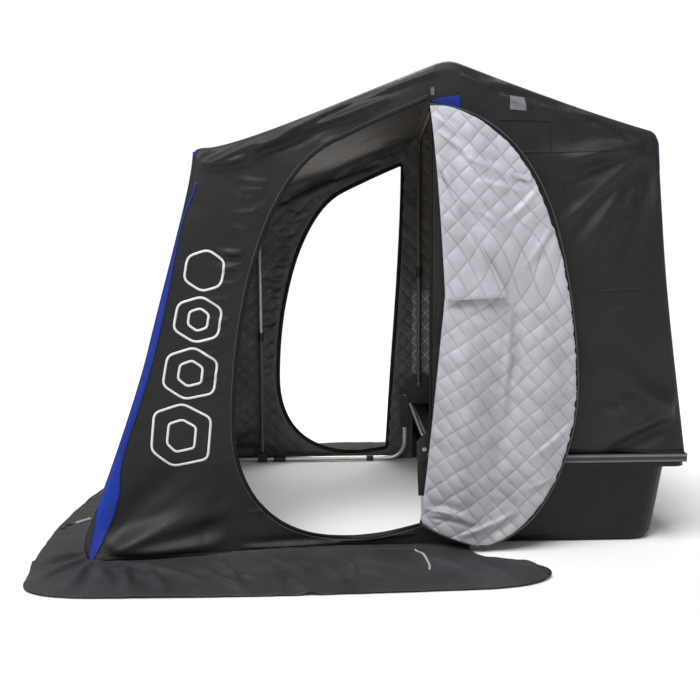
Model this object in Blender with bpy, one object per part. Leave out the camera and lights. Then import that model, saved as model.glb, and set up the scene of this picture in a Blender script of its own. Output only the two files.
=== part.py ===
"""Two-person flip-over ice fishing shelter, standing open with both side doors folded back.

Row frame, in metres: +X towards the sled end, +Y towards the far side, +Z up.
The origin is on the ground, in the middle of the footprint.
"""

import math

import bmesh
import bpy
from mathutils import Matrix, Vector
from mathutils.geometry import tessellate_polygon

# ---- driving dimensions -------------------------------------------------------------
APEX_X = 0.35  # plane of the tall bow, measured from the middle of the footprint
HALF_WIDTH = 0.84  # outer face of a side wall, from the middle plane
WALL = 0.006  # thickness of the canopy solids
GAP = 0.0003  # between pieces that touch
LANE = 0.7755  # middle of every side tube, from the middle plane

TUBE_R = 0.0127  # outer radius of a lower tube
TUBE_BORE_R = 0.0110  # its bore
INNER_R = 0.0106  # radius of the tubes that slide inside
COLLAR_R = 0.0165
COLLAR_BORE_R = 0.0130
COLLAR_LENGTH = 0.06
TUBE_SIDES = 16

BASE_Z = 0.018  # middle of the tubes that lie on the ice
BASE_FRONT_X = -1.36  # front cross tube, from the apex plane
BASE_JOIN_X = -0.86  # where the front hoop slides into the legs
BASE_PIVOT = (-0.085, 0.40)
APEX_PIVOT = (0.0, 0.47)
REAR_PIVOT = (0.09, 0.41)
APEX_LENGTH = 1.43  # pivot to the middle of the top cross tube
APEX_LOWER = 0.695
APEX_OVERLAP = 0.135
REAR_LENGTH = 1.4235
REAR_LOWER = 0.72
REAR_OVERLAP = 0.12
REAR_ANGLE = 59.4  # of the rear bow above the horizontal, degrees
FRONT_POLE_X = {"near": -0.902, "far": -0.938}
FRONT_FOOT_Z = 0.078
FRONT_POLE_TOP = 1.560
FRONT_POLE_LOWER = 0.70
FRONT_POLE_OVERLAP = 0.14

BRACKET_IN = 0.7885  # inner face of a bracket plate
BRACKET_OUT = 0.7945
BOLT_R = 0.0042
BOLT_HOLE_R = 0.0043
BOLT_HEAD_R = 0.0095

RIM_TOP = 0.345  # top face of the sled's flange
STRIP_TOP = 0.3797
SLED_FRONT = -0.03
SLED_REAR = 0.985

SKIRT_T = 0.004
DOOR_CLEARANCE = 0.003
DOOR_HINGE_X = -0.07

# Side view, measured from the apex plane. Each line is a chain of cubic curves: a point, the
# two pulls that bend the stretch after it, the next point, and so on.
FRONT_FOOT = (-1.39, 0.0)
FRONT_TOP = (-0.99, 1.58)
RIDGE = (0.0, 1.92)
REAR_TOP = (0.85, 1.665)
REAR_FOOT = (0.984, STRIP_TOP + 2 * GAP)
FRONT_WALL = [
    FRONT_FOOT, (-1.37, 0.22), (-1.22, 0.62), (-1.165, 0.83),
    (-1.09, 1.12), (-0.99, 1.42), FRONT_TOP,
]
ROOF_FRONT = [FRONT_TOP, (-0.80, 1.61), (-0.30, 1.82), RIDGE]
ROOF_REAR = [RIDGE, (0.25, 1.85), (0.62, 1.72), REAR_TOP]
REAR_WALL = [REAR_TOP, (0.85, 1.30), (0.92, 0.80), REAR_FOOT]
# Door opening: sloping head, round front, sill. Its sewn rear edge is straight and closes it.
OPENING = [
    (-0.07, 1.78), (-0.20, 1.725), (-0.32, 1.67), (-0.44, 1.61),
    (-0.70, 1.49), (-0.835, 0.95), (-0.835, 0.50),
    (-0.835, 0.25), (-0.70, 0.055), (-0.39, 0.058),
    (-0.28, 0.058), (-0.17, 0.085), (-0.07, 0.118),
]
WINDOW_EDGE = [(-0.03, 1.50), (0.02, 1.36), (0.20, 1.14), (0.24, 1.02)]
WINDOW_CORNER = (-0.03, 1.02)
SKIRT_FRONT = -1.69  # furthest forward point of the skirt
SKIRT_CORNER = (-1.54, 1.20)
SKIRT_TONGUE = [
    (0.09, HALF_WIDTH + GAP), (0.09, 0.93), (0.13, 0.975), (0.22, 1.00),
    (0.33, 1.03), (0.39, 1.08), (0.355, 1.15),
]
SKIRT_EDGE = [
    (0.355, 1.15), (0.34, 1.21), (0.28, 1.26), (0.10, 1.275),
    (-0.40, 1.30), (-0.85, 1.30), (-1.25, 1.30),
    (-1.40, 1.30), (-1.50, 1.28), SKIRT_CORNER,
]
BRACKET_OUTLINE = [
    (-0.115, 0.350), (-0.040, 0.350), (-0.020, 0.3453), (0.140, 0.3453), (0.140, 0.425),
    (0.125, 0.460), (0.030, 0.530), (-0.030, 0.525), (-0.115, 0.430),
]
KNUCKLE_OUTLINE = [
    (-0.108, 0.2053), (-0.062, 0.2053), (-0.058, 0.300), (-0.060, 0.400), (-0.068, 0.420),
    (-0.085, 0.427), (-0.102, 0.420), (-0.110, 0.400), (-0.112, 0.300),
]
SIDES = {"near": -1, "far": 1}

# ---- start from nothing -------------------------------------------------------------
for old in list(bpy.data.objects):
    bpy.data.objects.remove(old, do_unlink=True)


def material(name, colour, roughness, metallic=0.0):
    m = bpy.data.materials.new(name)
    m.use_nodes = True
    shader = m.node_tree.nodes["Principled BSDF"]
    shader.inputs["Base Color"].default_value = (*[(c / 255) ** 2.2 for c in colour], 1)
    shader.inputs["Roughness"].default_value = roughness
    shader.inputs["Metallic"].default_value = metallic
    m.diffuse_color = shader.inputs["Base Color"].default_value
    return m


ALUMINIUM = material("aluminium_tube", (160, 157, 152), 0.38, 0.9)
BLACK_TUBE = material("black_tube", (46, 43, 41), 0.42, 0.5)
BLACK_PLASTIC = material("black_plastic", (24, 23, 24), 0.5)
STEEL = material("zinc_bolt", (150, 150, 152), 0.35, 1.0)
BLACK_PLATE = material("black_plate", (27, 26, 27), 0.45, 0.4)
SLED_PLASTIC = material("sled_plastic", (38, 35, 34), 0.55)
RIM_GREY = material("rim_strip", (100, 99, 104), 0.4, 0.6)
CANOPY_BLACK = material("canopy_black", (38, 37, 40), 0.85)
CANOPY_BLUE = material("canopy_blue", (44, 72, 168), 0.8)
SKIRT_GREY = material("skirt_fabric", (62, 60, 64), 0.9)
SILVER_QUILT = material("silver_quilt", (172, 173, 180), 0.5, 0.2)
ZIP_BLACK = material("zip_black", (20, 20, 21), 0.5)


def finish(name, bm, mat, smooth=False):
    """Turns a bmesh into a named object with outward faces."""
    bmesh.ops.remove_doubles(bm, verts=bm.verts, dist=0.000001)
    bmesh.ops.triangulate(bm, faces=[f for f in bm.faces if len(f.verts) > 4])
    bmesh.ops.recalc_face_normals(bm, faces=bm.faces)
    if bm.calc_volume(signed=True) < 0:
        bmesh.ops.reverse_faces(bm, faces=bm.faces)
    mesh = bpy.data.meshes.new(name)
    bm.to_mesh(mesh)
    bm.free()
    obj = bpy.data.objects.new(name, mesh)
    bpy.context.scene.collection.objects.link(obj)
    mesh.materials.append(mat)
    for poly in mesh.polygons:
        poly.use_smooth = smooth
    if smooth:
        mesh.set_sharp_from_angle(angle=math.radians(35))
    return obj


def place_origin(obj, point):
    """Moves the object's origin without moving its surface."""
    shift = Vector(point)
    obj.data.transform(Matrix.Translation(-shift))
    obj.location = shift
    return obj


def rounded(points, radius, steps=5):
    """A path through the points with each inner corner bent to the radius."""
    points = [Vector(p) for p in points]
    path = [points[0]]
    for before, corner, after in zip(points, points[1:], points[2:]):
        a = (before - corner).normalized()
        b = (after - corner).normalized()
        half = a.angle(b) / 2
        back = radius / math.tan(half)
        centre = corner + (a + b).normalized() * (radius / math.sin(half))
        start = corner + a * back - centre
        end = corner + b * back - centre
        turn = start.angle(end)
        axis = start.cross(end).normalized()
        for i in range(steps + 1):
            path.append(centre + Matrix.Rotation(turn * i / steps, 3, axis) @ start)
    path.append(points[-1])
    return path


def tube(name, path, radius, mat, bore=None, sides=TUBE_SIDES):
    """A round tube along a path, solid or with a bore that is open at both ends."""
    path = [Vector(p) for p in path]
    bm = bmesh.new()
    radii = [radius] if bore is None else [radius, bore]
    rings = [[] for _ in radii]
    tangent = (path[1] - path[0]).normalized()
    start = Vector((0, 1, 0)) if abs(tangent.y) < 0.9 else Vector((1, 0, 0))
    side = (start - tangent * start.dot(tangent)).normalized()
    for i, point in enumerate(path):
        before = (point - path[i - 1]).normalized() if i else tangent
        after = (path[i + 1] - point).normalized() if i + 1 < len(path) else before
        ahead = (before + after).normalized()
        side = (side - ahead * side.dot(ahead)).normalized()
        up = ahead.cross(side)
        for ring, r in zip(rings, radii):
            corners = []
            for k in range(sides):
                turn = 2 * math.pi * (k + 0.5) / sides
                corners.append(bm.verts.new(point + (side * math.cos(turn) + up * math.sin(turn)) * r))
            ring.append(corners)
    for ring in rings:
        for low, high in zip(ring, ring[1:]):
            for k in range(sides):
                n = (k + 1) % sides
                bm.faces.new((low[k], low[n], high[n], high[k]))
    for end in (0, -1):
        if bore is None:
            bm.faces.new(rings[0][end])
        else:
            outer, inner = rings[0][end], rings[1][end]
            for k in range(sides):
                n = (k + 1) % sides
                bm.faces.new((outer[k], outer[n], inner[n], inner[k]))
    return finish(name, bm, mat, smooth=True)


def slab(name, outline, low, high, mat, axis="Y", hole=None):
    """A flat plate: a closed outline, with an optional hole, made thick along one axis."""
    loops = [outline] + ([hole] if hole else [])
    flat = [[Vector((a, b, 0)) for a, b in loop] for loop in loops]
    faces = tessellate_polygon(flat)
    bm = bmesh.new()
    layers = []
    for level in (low, high):
        layer = []
        for loop in loops:
            for a, b in loop:
                place = (a + APEX_X, level, b) if axis == "Y" else (a + APEX_X, b, level)
                layer.append(bm.verts.new(place))
        layers.append(layer)
    for layer in layers:
        for face in faces:
            bm.faces.new([layer[i] for i in face])
    start = 0
    for loop in loops:
        for k in range(len(loop)):
            i, j = start + k, start + (k + 1) % len(loop)
            bm.faces.new((layers[0][i], layers[0][j], layers[1][j], layers[1][i]))
        start += len(loop)
    return finish(name, bm, mat)


def sided(sign, low, high):
    """A pair of distances from the middle plane, ordered, on the side given by the sign."""
    return (low, high) if sign > 0 else (-high, -low)


def offset_line(line, distance):
    """The line moved to its right-hand side, with its corners mitred."""
    moved = []
    for i, (x, z) in enumerate(line):
        normals = []
        for a, b in ((i - 1, i), (i, i + 1)):
            if 0 <= a and b < len(line):
                d = Vector((line[b][0] - line[a][0], line[b][1] - line[a][1])).normalized()
                normals.append(Vector((d.y, -d.x)))
        mean = sum(normals, Vector((0, 0))).normalized()
        scale = distance / mean.dot(normals[0])
        moved.append((x + mean.x * scale, z + mean.y * scale))
    return moved


def shorten(line, inner, at_start, at_end):
    """Pulls the ends of a two-sided strip back along its first and last edges."""
    line, inner = [list(map(Vector, side)) for side in (line, inner)]
    for end, other, by in ((0, 1, at_start), (-1, -2, at_end)):
        along = (line[other] - line[end]).normalized() * by
        line[end] = line[end] + along
        inner[end] = inner[end] + along
    return [tuple(p) for p in line], [tuple(p) for p in inner]


def curve(points, steps):
    """Points along a chain of cubic curves, with the given number of steps for each."""
    out = []
    for i in range(0, len(points) - 1, 3):
        a, b, c, d = [Vector(p) for p in points[i:i + 4]]
        for k in range(steps):
            t = k / steps
            u = 1 - t
            out.append(a * u ** 3 + b * (3 * t * u * u) + c * (3 * t * t * u) + d * t ** 3)
    out.append(Vector(points[-1]))
    return [tuple(p) for p in out]


def combine(target, other, operation):
    """Applies an exact Boolean and removes the tool."""
    mod = target.modifiers.new("cut", "BOOLEAN")
    mod.operation = operation
    mod.solver = "EXACT"
    mod.object = other
    graph = bpy.context.evaluated_depsgraph_get()
    mesh = bpy.data.meshes.new_from_object(target.evaluated_get(graph))
    target.modifiers.clear()
    mats = [m for m in target.data.materials]
    target.data = mesh
    mesh.name = target.name
    mesh.materials.clear()
    mesh.materials.append(mats[0])
    for poly in mesh.polygons:
        poly.material_index = 0
    bpy.data.objects.remove(other, do_unlink=True)
    return target


def bolt_hole(target, pivot, sign, low=0.755, high=0.805):
    """Drills the hole of a pivot bolt through a piece."""
    a, b = sided(sign, low, high)
    x, z = pivot[0] + APEX_X, pivot[1]
    cutter = tube("cutter", [(x, a, z), (x, b, z)], BOLT_HOLE_R, STEEL)
    return combine(target, cutter, "DIFFERENCE")


def along(pivot, angle, distance):
    turn = math.radians(angle)
    return (pivot[0] + distance * math.cos(turn), pivot[1] + distance * math.sin(turn))


def at(point, y):
    return (point[0] + APEX_X, y, point[1])


# ---- canopy -------------------------------------------------------------------------
front_line = curve(FRONT_WALL, 12)
roof_front_line = curve(ROOF_FRONT, 20)
roof_rear_line = curve(ROOF_REAR, 18)
rear_line = curve(REAR_WALL, 16)
outline = front_line + roof_front_line[1:] + roof_rear_line[1:] + rear_line[1:]
inside = offset_line(outline, WALL)
breaks = [0]
for part in (front_line, roof_front_line, roof_rear_line, rear_line):
    breaks.append(breaks[-1] + len(part) - 1)
STRIPS = [
    ("front_wall", 0, CANOPY_BLACK, 0.0, GAP / 2),
    ("roof_front", 1, CANOPY_BLACK, GAP / 2, GAP / 2),
    ("roof_rear", 2, CANOPY_BLACK, GAP / 2, GAP / 2),
    ("rear_wall", 3, CANOPY_BLACK, GAP / 2, 0.0),
]
side_in = HALF_WIDTH - WALL
for name, k, mat, at_start, at_end in STRIPS:
    first, last = breaks[k], breaks[k + 1]
    outer, inner = shorten(outline[first:last + 1], inside[first:last + 1], at_start, at_end)
    if k == 0:
        inner[0] = (inner[0][0], 0.0)
    if k == 3:
        inner[-1] = (inner[-1][0], STRIP_TOP + 2 * GAP)
    slab(name, outer + inner[::-1], -(side_in - GAP), side_in - GAP, mat)

SPLIT_X = -0.035
split = next(i for i, p in enumerate(outline) if p[0] > SPLIT_X)
a, b = outline[split - 1], outline[split]
share = (SPLIT_X - a[0]) / (b[0] - a[0])
split_z = a[1] + share * (b[1] - a[1])
opening = curve(OPENING, 16)
for side, sign in SIDES.items():
    low, high = sided(sign, side_in, HALF_WIDTH)
    front = outline[:split] + [(SPLIT_X, split_z), (SPLIT_X, 0.0)]
    slab(f"side_wall_front_{side}", front, low, high, CANOPY_BLACK, hole=opening)
    rear = [(SPLIT_X + GAP, STRIP_TOP + 2 * GAP), (SPLIT_X + GAP, split_z)] + outline[split:]
    slab(f"side_wall_rear_{side}", rear, low, high, CANOPY_BLACK)

window_outline = curve(WINDOW_EDGE, 6) + [WINDOW_CORNER]
# Doors: each is the opening's shape, turned half a turn about its sewn edge.
HINGE_Y = HALF_WIDTH + 0.00025
middle = Vector((-0.45, 0.85))
shrunk = offset_line([opening[-1]] + opening + [opening[0]], DOOR_CLEARANCE)[1:-1]
if max(x for x, z in shrunk) > DOOR_HINGE_X or min(x for x, z in shrunk) < min(x for x, z in opening):
    shrunk = offset_line([opening[-1]] + opening + [opening[0]], -DOOR_CLEARANCE)[1:-1]
door = [(2 * DOOR_HINGE_X - min(x, DOOR_HINGE_X - 0.0015), z) for x, z in shrunk]
for side, sign in SIDES.items():
    low, high = sided(sign, HINGE_Y + 0.00025, HINGE_Y + 0.00025 + WALL)
    hinge = (DOOR_HINGE_X + APEX_X, sign * HINGE_Y, 0.9)
    place_origin(slab(f"door_{side}", door, low, high, SILVER_QUILT), hinge)
    outer = HINGE_Y + 0.00025 + WALL + GAP
    low, high = sided(sign, outer, outer + 0.003)
    flap = slab(f"window_flap_{side}", window_outline, low, high, SILVER_QUILT)
    place_origin(flap, hinge)

# Ground skirt, in three pieces around the front hoop.
wall_front = FRONT_FOOT[0]
near_skirt = [(wall_front, HALF_WIDTH + GAP)] + curve(SKIRT_TONGUE, 4) + curve(SKIRT_EDGE, 6)[1:]
corner_x, corner_y = SKIRT_CORNER
front_skirt = [(wall_front - 2 * GAP, -HALF_WIDTH)]
for k in range(-10, 11):
    share = k / 10
    x = SKIRT_FRONT + (corner_x - SKIRT_FRONT) * share * share
    front_skirt.append((x - 2 * GAP * abs(share), corner_y * share))
front_skirt.append((wall_front - 2 * GAP, HALF_WIDTH))

for side, sign in SIDES.items():
    shape = [(x, y * sign) for x, y in near_skirt]
    slab(f"skirt_{side}", shape, 0.0, SKIRT_T, SKIRT_GREY, axis="Z")
slab("skirt_front", front_skirt, 0.0, SKIRT_T, SKIRT_GREY, axis="Z")

# ---- sled ---------------------------------------------------------------------------


def rounded_box(x0, x1, half_y, radius, z, steps=6):
    loop = []
    for cx, cy, start in (
        (x1 - radius, half_y - radius, 0),
        (x0 + radius, half_y - radius, 90),
        (x0 + radius, -half_y + radius, 180),
        (x1 - radius, -half_y + radius, 270),
    ):
        for k in range(steps + 1):
            turn = math.radians(start + 90 * k / steps)
            loop.append((cx + radius * math.cos(turn), cy + radius * math.sin(turn), z))
    return loop


def stacked(name, loops, mat):
    """A closed body from a stack of loops, closed by a flat face at each end."""
    bm = bmesh.new()
    rings = [[bm.verts.new((x + APEX_X, y, z)) for x, y, z in loop] for loop in loops]
    count = len(loops[0])
    for low, high in zip(rings, rings[1:]):
        for k in range(count):
            n = (k + 1) % count
            bm.faces.new((low[k], low[n], high[n], high[k]))
    bm.faces.new(rings[0])
    bm.faces.new(rings[-1])
    return finish(name, bm, mat, smooth=True)


tub_loops = [
    rounded_box(0.190, 0.850, 0.757, 0.08, 0.0),
    rounded_box(0.165, 0.872, 0.771, 0.09, 0.008),
    rounded_box(0.150, 0.886, 0.778, 0.09, 0.030),
    rounded_box(0.110, 0.899, 0.784, 0.09, 0.100),
    rounded_box(0.030, 0.928, 0.791, 0.08, 0.300),
    rounded_box(0.022, 0.932, 0.793, 0.08, 0.322),
    rounded_box(SLED_FRONT, SLED_REAR, 0.838, 0.05, 0.326),
    rounded_box(SLED_FRONT, SLED_REAR, 0.838, 0.05, 0.343),
    rounded_box(SLED_FRONT + 0.002, SLED_REAR - 0.002, 0.836, 0.05, RIM_TOP),
    rounded_box(0.034, 0.921, 0.784, 0.07, RIM_TOP),
    rounded_box(0.040, 0.918, 0.781, 0.07, 0.335),
    rounded_box(0.118, 0.891, 0.775, 0.08, 0.100),
    rounded_box(0.158, 0.878, 0.769, 0.08, 0.034),
    rounded_box(0.200, 0.842, 0.748, 0.07, 0.010),
]
stacked("sled_tub", tub_loops, SLED_PLASTIC)

strip = [(SLED_FRONT + 0.02, RIM_TOP + GAP), (SLED_REAR, RIM_TOP + GAP), (SLED_REAR, STRIP_TOP),
         (SLED_FRONT + 0.02, STRIP_TOP)]
for side, sign in SIDES.items():
    low, high = sided(sign, HALF_WIDTH - 0.012, HALF_WIDTH)
    slab(f"rim_strip_{side}", strip, low, high, RIM_GREY)
rear_strip = [(SLED_REAR - 0.012, RIM_TOP + GAP), (SLED_REAR, RIM_TOP + GAP), (SLED_REAR, STRIP_TOP),
              (SLED_REAR - 0.012, STRIP_TOP)]
slab("rim_strip_rear", rear_strip, -(HALF_WIDTH - 0.012 - GAP), HALF_WIDTH - 0.012 - GAP, RIM_GREY)

for side, sign in SIDES.items():
    low, high = sided(sign, BRACKET_IN, BRACKET_OUT)
    plate = slab(f"bracket_{side}", BRACKET_OUTLINE, low, high, BLACK_PLATE)
    low, high = sided(sign, BRACKET_IN + 0.001, 0.826)
    foot = [(-0.020, RIM_TOP + GAP), (0.140, RIM_TOP + GAP), (0.140, 0.352), (-0.020, 0.352)]
    combine(plate, slab("foot", foot, low, high, BLACK_PLATE), "UNION")
    for pivot in (BASE_PIVOT, APEX_PIVOT, REAR_PIVOT):
        bolt_hole(plate, pivot, sign)
    for what, pivot in (("base", BASE_PIVOT), ("apex", APEX_PIVOT), ("rear", REAR_PIVOT)):
        x, z = pivot[0] + APEX_X, pivot[1]
        bolt = tube(f"pivot_bolt_{what}_{side}", [(x, sign * 0.7585, z), (x, sign * 0.798, z)],
                    BOLT_R, STEEL)
        head = tube("head", [(x, sign * (BRACKET_OUT + GAP), z), (x, sign * 0.8010, z)],
                    BOLT_HEAD_R, STEEL, sides=6)
        combine(bolt, head, "UNION")
    outside = BRACKET_OUT + GAP + INNER_R
    strut = rounded([at((-0.064, 0.385), sign * outside), at((0.030, 0.135), sign * outside),
                     at((0.101, 0.090), sign * 0.660)], 0.05, 5)
    tube(f"bracket_strut_{side}", strut, INNER_R, ALUMINIUM)

# ---- base bow -----------------------------------------------------------------------
for side, sign in SIDES.items():
    y = sign * LANE
    leg_path = rounded([at((-0.085, 0.205), y), at((-0.085, BASE_Z), y),
                        at((BASE_JOIN_X, BASE_Z), y)], 0.10, 8)
    tube(f"base_leg_{side}", leg_path, TUBE_R, ALUMINIUM, bore=TUBE_BORE_R)
    low, high = sided(sign, LANE - 0.006, LANE + 0.006)
    knuckle = slab(f"base_knuckle_{side}", KNUCKLE_OUTLINE, low, high, BLACK_PLATE)
    spigot = tube("spigot", [at((-0.085, 0.150), y), at((-0.085, 0.212), y)], 0.0058, BLACK_PLATE)
    combine(knuckle, spigot, "UNION")
    bolt_hole(knuckle, BASE_PIVOT, sign)
    place_origin(knuckle, at(BASE_PIVOT, y))
    tube(f"base_collar_{side}", [at((BASE_JOIN_X - 0.012, BASE_Z), y), at((BASE_JOIN_X + 0.06, BASE_Z), y)],
         COLLAR_R, BLACK_PLASTIC, bore=COLLAR_BORE_R)
    tube(f"base_sleeve_{side}", [at((-0.315, BASE_Z), y), at((-0.275, BASE_Z), y)],
         0.0160, BLACK_PLASTIC, bore=COLLAR_BORE_R)
hoop = rounded([at((BASE_JOIN_X + 0.10, BASE_Z), -LANE), at((BASE_FRONT_X, BASE_Z), -LANE),
                at((BASE_FRONT_X, BASE_Z), LANE), at((BASE_JOIN_X + 0.10, BASE_Z), LANE)], 0.10, 7)
tube("base_hoop", hoop, INNER_R, ALUMINIUM)

for side, sign in SIDES.items():
    pole_x = FRONT_POLE_X[side]
    y = sign * LANE
    block = [(-0.028, 0.002), (0.028, 0.002), (0.028, 0.055), (-0.028, 0.055)]
    block = [(pole_x + a, z) for a, z in block]
    low, high = sided(sign, LANE - 0.017, LANE + 0.017)
    clamp = slab(f"foot_clamp_{side}", block, low, high, BLACK_PLASTIC)
    for dx in (-1, 1):
        x0 = pole_x + dx * 0.0135
        x1 = pole_x + dx * 0.0215
        ear = [(min(x0, x1), 0.050), (max(x0, x1), 0.050), (max(x0, x1), 0.088), (min(x0, x1), 0.088)]
        ear_low, ear_high = sided(sign, LANE - 0.012, LANE + 0.012)
        combine(clamp, slab("ear", ear, ear_low, ear_high, BLACK_PLASTIC), "UNION")
    cutter = tube("cutter", [at((pole_x - 0.05, BASE_Z), y), at((pole_x + 0.05, BASE_Z), y)],
                  INNER_R + GAP, BLACK_PLASTIC)
    combine(clamp, cutter, "DIFFERENCE")
    cutter = tube("cutter", [at((pole_x - 0.05, FRONT_FOOT_Z), y), at((pole_x + 0.05, FRONT_FOOT_Z), y)],
                  BOLT_HOLE_R, BLACK_PLASTIC)
    combine(clamp, cutter, "DIFFERENCE")
    tube(f"foot_pin_{side}", [at((pole_x - 0.024, FRONT_FOOT_Z), y), at((pole_x + 0.024, FRONT_FOOT_Z), y)],
         BOLT_R, STEEL)
    foot = at((pole_x, FRONT_FOOT_Z), y)
    lower_top = FRONT_FOOT_Z + FRONT_POLE_LOWER
    lower = tube(f"front_pole_lower_{side}",
                 [at((pole_x, FRONT_FOOT_Z - 0.0165), y), at((pole_x, lower_top), y)],
                 TUBE_R, BLACK_TUBE, bore=TUBE_BORE_R)
    cutter = tube("cutter", [at((pole_x - 0.05, FRONT_FOOT_Z), y), at((pole_x + 0.05, FRONT_FOOT_Z), y)],
                  BOLT_HOLE_R, BLACK_PLASTIC)
    combine(lower, cutter, "DIFFERENCE")
    place_origin(lower, foot)
    collar = tube(f"front_pole_collar_{side}",
                  [at((pole_x, lower_top - 0.05), y), at((pole_x, lower_top + 0.0), y)],
                  COLLAR_R, BLACK_PLASTIC, bore=COLLAR_BORE_R)
    place_origin(collar, foot)
    upper = tube(f"front_pole_upper_{side}",
                 [at((pole_x, lower_top - FRONT_POLE_OVERLAP), y), at((pole_x, FRONT_POLE_TOP), y)],
                 INNER_R, ALUMINIUM)
    place_origin(upper, at((pole_x, lower_top), y))

# ---- apex bow and rear bow ----------------------------------------------------------
BOWS = [
    ("apex", APEX_PIVOT, 90.0, APEX_LENGTH, APEX_LOWER, APEX_OVERLAP, BLACK_TUBE),
    ("rear", REAR_PIVOT, REAR_ANGLE, REAR_LENGTH, REAR_LOWER, REAR_OVERLAP, ALUMINIUM),
]
for bow, pivot, angle, length, lower_length, overlap, mat in BOWS:
    for side, sign in SIDES.items():
        y = sign * LANE
        lower = tube(f"{bow}_lower_{side}",
                     [at(along(pivot, angle, -0.020), y), at(along(pivot, angle, lower_length), y)],
                     TUBE_R, mat, bore=TUBE_BORE_R)
        bolt_hole(lower, pivot, sign)
        place_origin(lower, at(pivot, y))
        collar = tube(f"{bow}_collar_{side}",
                      [at(along(pivot, angle, lower_length - COLLAR_LENGTH), y),
                       at(along(pivot, angle, lower_length), y)],
                      COLLAR_R, BLACK_PLASTIC, bore=COLLAR_BORE_R)
        place_origin(collar, at(pivot, y))
    foot = along(pivot, angle, lower_length - overlap)
    top = along(pivot, angle, length)
    path = rounded([at(foot, -LANE), at(top, -LANE), at(top, LANE), at(foot, LANE)], 0.07, 6)
    hoop = tube(f"{bow}_hoop", path, INNER_R, mat)
    place_origin(hoop, at(along(pivot, angle, lower_length), 0))

# ---- zip sliders --------------------------------------------------------------------
for side, sign in SIDES.items():
    low, high = sided(sign, HALF_WIDTH + GAP, HALF_WIDTH + 0.006)
    slider = [(-0.066, 1.790), (-0.054, 1.790), (-0.052, 1.815), (-0.060, 1.822), (-0.068, 1.815)]
    slab(f"zip_slider_{side}", slider, low, high, ZIP_BLACK)
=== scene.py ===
import math

import bpy
import numpy as np
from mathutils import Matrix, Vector


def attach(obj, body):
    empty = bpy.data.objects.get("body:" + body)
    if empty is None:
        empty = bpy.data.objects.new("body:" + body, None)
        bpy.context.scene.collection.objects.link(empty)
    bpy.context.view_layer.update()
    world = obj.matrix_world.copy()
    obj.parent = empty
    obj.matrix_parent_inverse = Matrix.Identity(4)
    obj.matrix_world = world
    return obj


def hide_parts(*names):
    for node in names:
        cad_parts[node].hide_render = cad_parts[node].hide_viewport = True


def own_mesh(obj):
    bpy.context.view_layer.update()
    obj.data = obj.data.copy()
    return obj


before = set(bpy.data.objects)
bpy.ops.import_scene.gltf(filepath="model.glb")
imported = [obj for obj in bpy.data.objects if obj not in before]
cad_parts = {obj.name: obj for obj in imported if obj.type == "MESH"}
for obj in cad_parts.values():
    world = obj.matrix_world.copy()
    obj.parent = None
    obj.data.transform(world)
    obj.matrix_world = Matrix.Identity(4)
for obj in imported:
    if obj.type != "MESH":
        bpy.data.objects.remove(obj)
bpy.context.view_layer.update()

# ---- dimensions, in metres; x in the outlines is measured from the tall bow ----------
APEX_X = 0.35
WIDE = 0.84  # side wall, from the middle plane
SHOULDER = 0.050  # roundness of the roof edges
CORNER = 0.030  # roundness of the upright edges
LEAN = 0.034  # how far a side wall leans in towards the roof
LEAN_START = 0.34  # how far below the roof it starts to
FOOT_X = -1.39  # foot of the front wall
HEM_Y = 0.843  # inner edge of the skirt, from the middle plane
CLOTH = 0.004  # thickness of the canopy's cloth
CUSHION = 0.004  # height of the cushions in its lining
FLAP_CUSHION = 0.0068
STITCHED = 0.0003  # height of the underside of what is sewn on a cloth
# Each outline is a chain of cubic curves: a point, two pulls, the next point, and so on.
FRONT_WALL = [
    (-1.395, 0.0), (-1.43, 0.04), (-1.43, 0.08), (-1.41, 0.125),
    (-1.37, 0.22), (-1.22, 0.62), (-1.17, 0.81),
    (-1.09, 1.12), (-0.99, 1.42), (-0.987, 1.578),
]
ROOF = [
    (-0.987, 1.578), (-0.985, 1.592), (-0.96, 1.596), (-0.92, 1.597),
    (-0.75, 1.625), (-0.33, 1.81), (-0.04, 1.922),
    (-0.01, 1.933), (0.02, 1.937), (0.05, 1.925),
    (0.27, 1.845), (0.60, 1.735), (0.815, 1.68),
    (0.84, 1.674), (0.853, 1.66), (0.853, 1.64),
]
REAR_WALL = [(0.984, 0.381), (0.935, 0.75), (0.853, 1.20), (0.853, 1.64)]
OPENING = [
    (-0.07, 1.78), (-0.20, 1.725), (-0.32, 1.67), (-0.44, 1.61),
    (-0.70, 1.49), (-0.835, 0.95), (-0.835, 0.50),
    (-0.835, 0.25), (-0.70, 0.055), (-0.39, 0.058),
    (-0.28, 0.058), (-0.17, 0.085), (-0.07, 0.118),
]
# the far doorway's rear edge, which hangs a little into the doorway, upwards
FAR_EDGE = [(-0.20, 0.08), (-0.175, 0.60), (-0.11, 1.20), (-0.105, 1.765)]
SPLIT_X = -0.035
RIM_Z = 0.3803
EYE = (-0.3264, -3.9292, 1.0669)
SIDES = {"near": -1, "far": 1}


# ---- small tools --------------------------------------------------------------------
def smooth_line(points, steps=8):
    """A curve through all the points."""
    p = np.array(points, float)
    out = []
    for i in range(len(p) - 1):
        a, b, c, d = p[max(i - 1, 0)], p[i], p[i + 1], p[min(i + 2, len(p) - 1)]
        for t in np.arange(steps) / steps:
            out.append(0.5 * (2 * b + (c - a) * t + (2 * a - 5 * b + 4 * c - d) * t * t
                              + (3 * b - a - 3 * c + d) * t ** 3))
    out.append(p[-1])
    return np.array(out)


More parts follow.
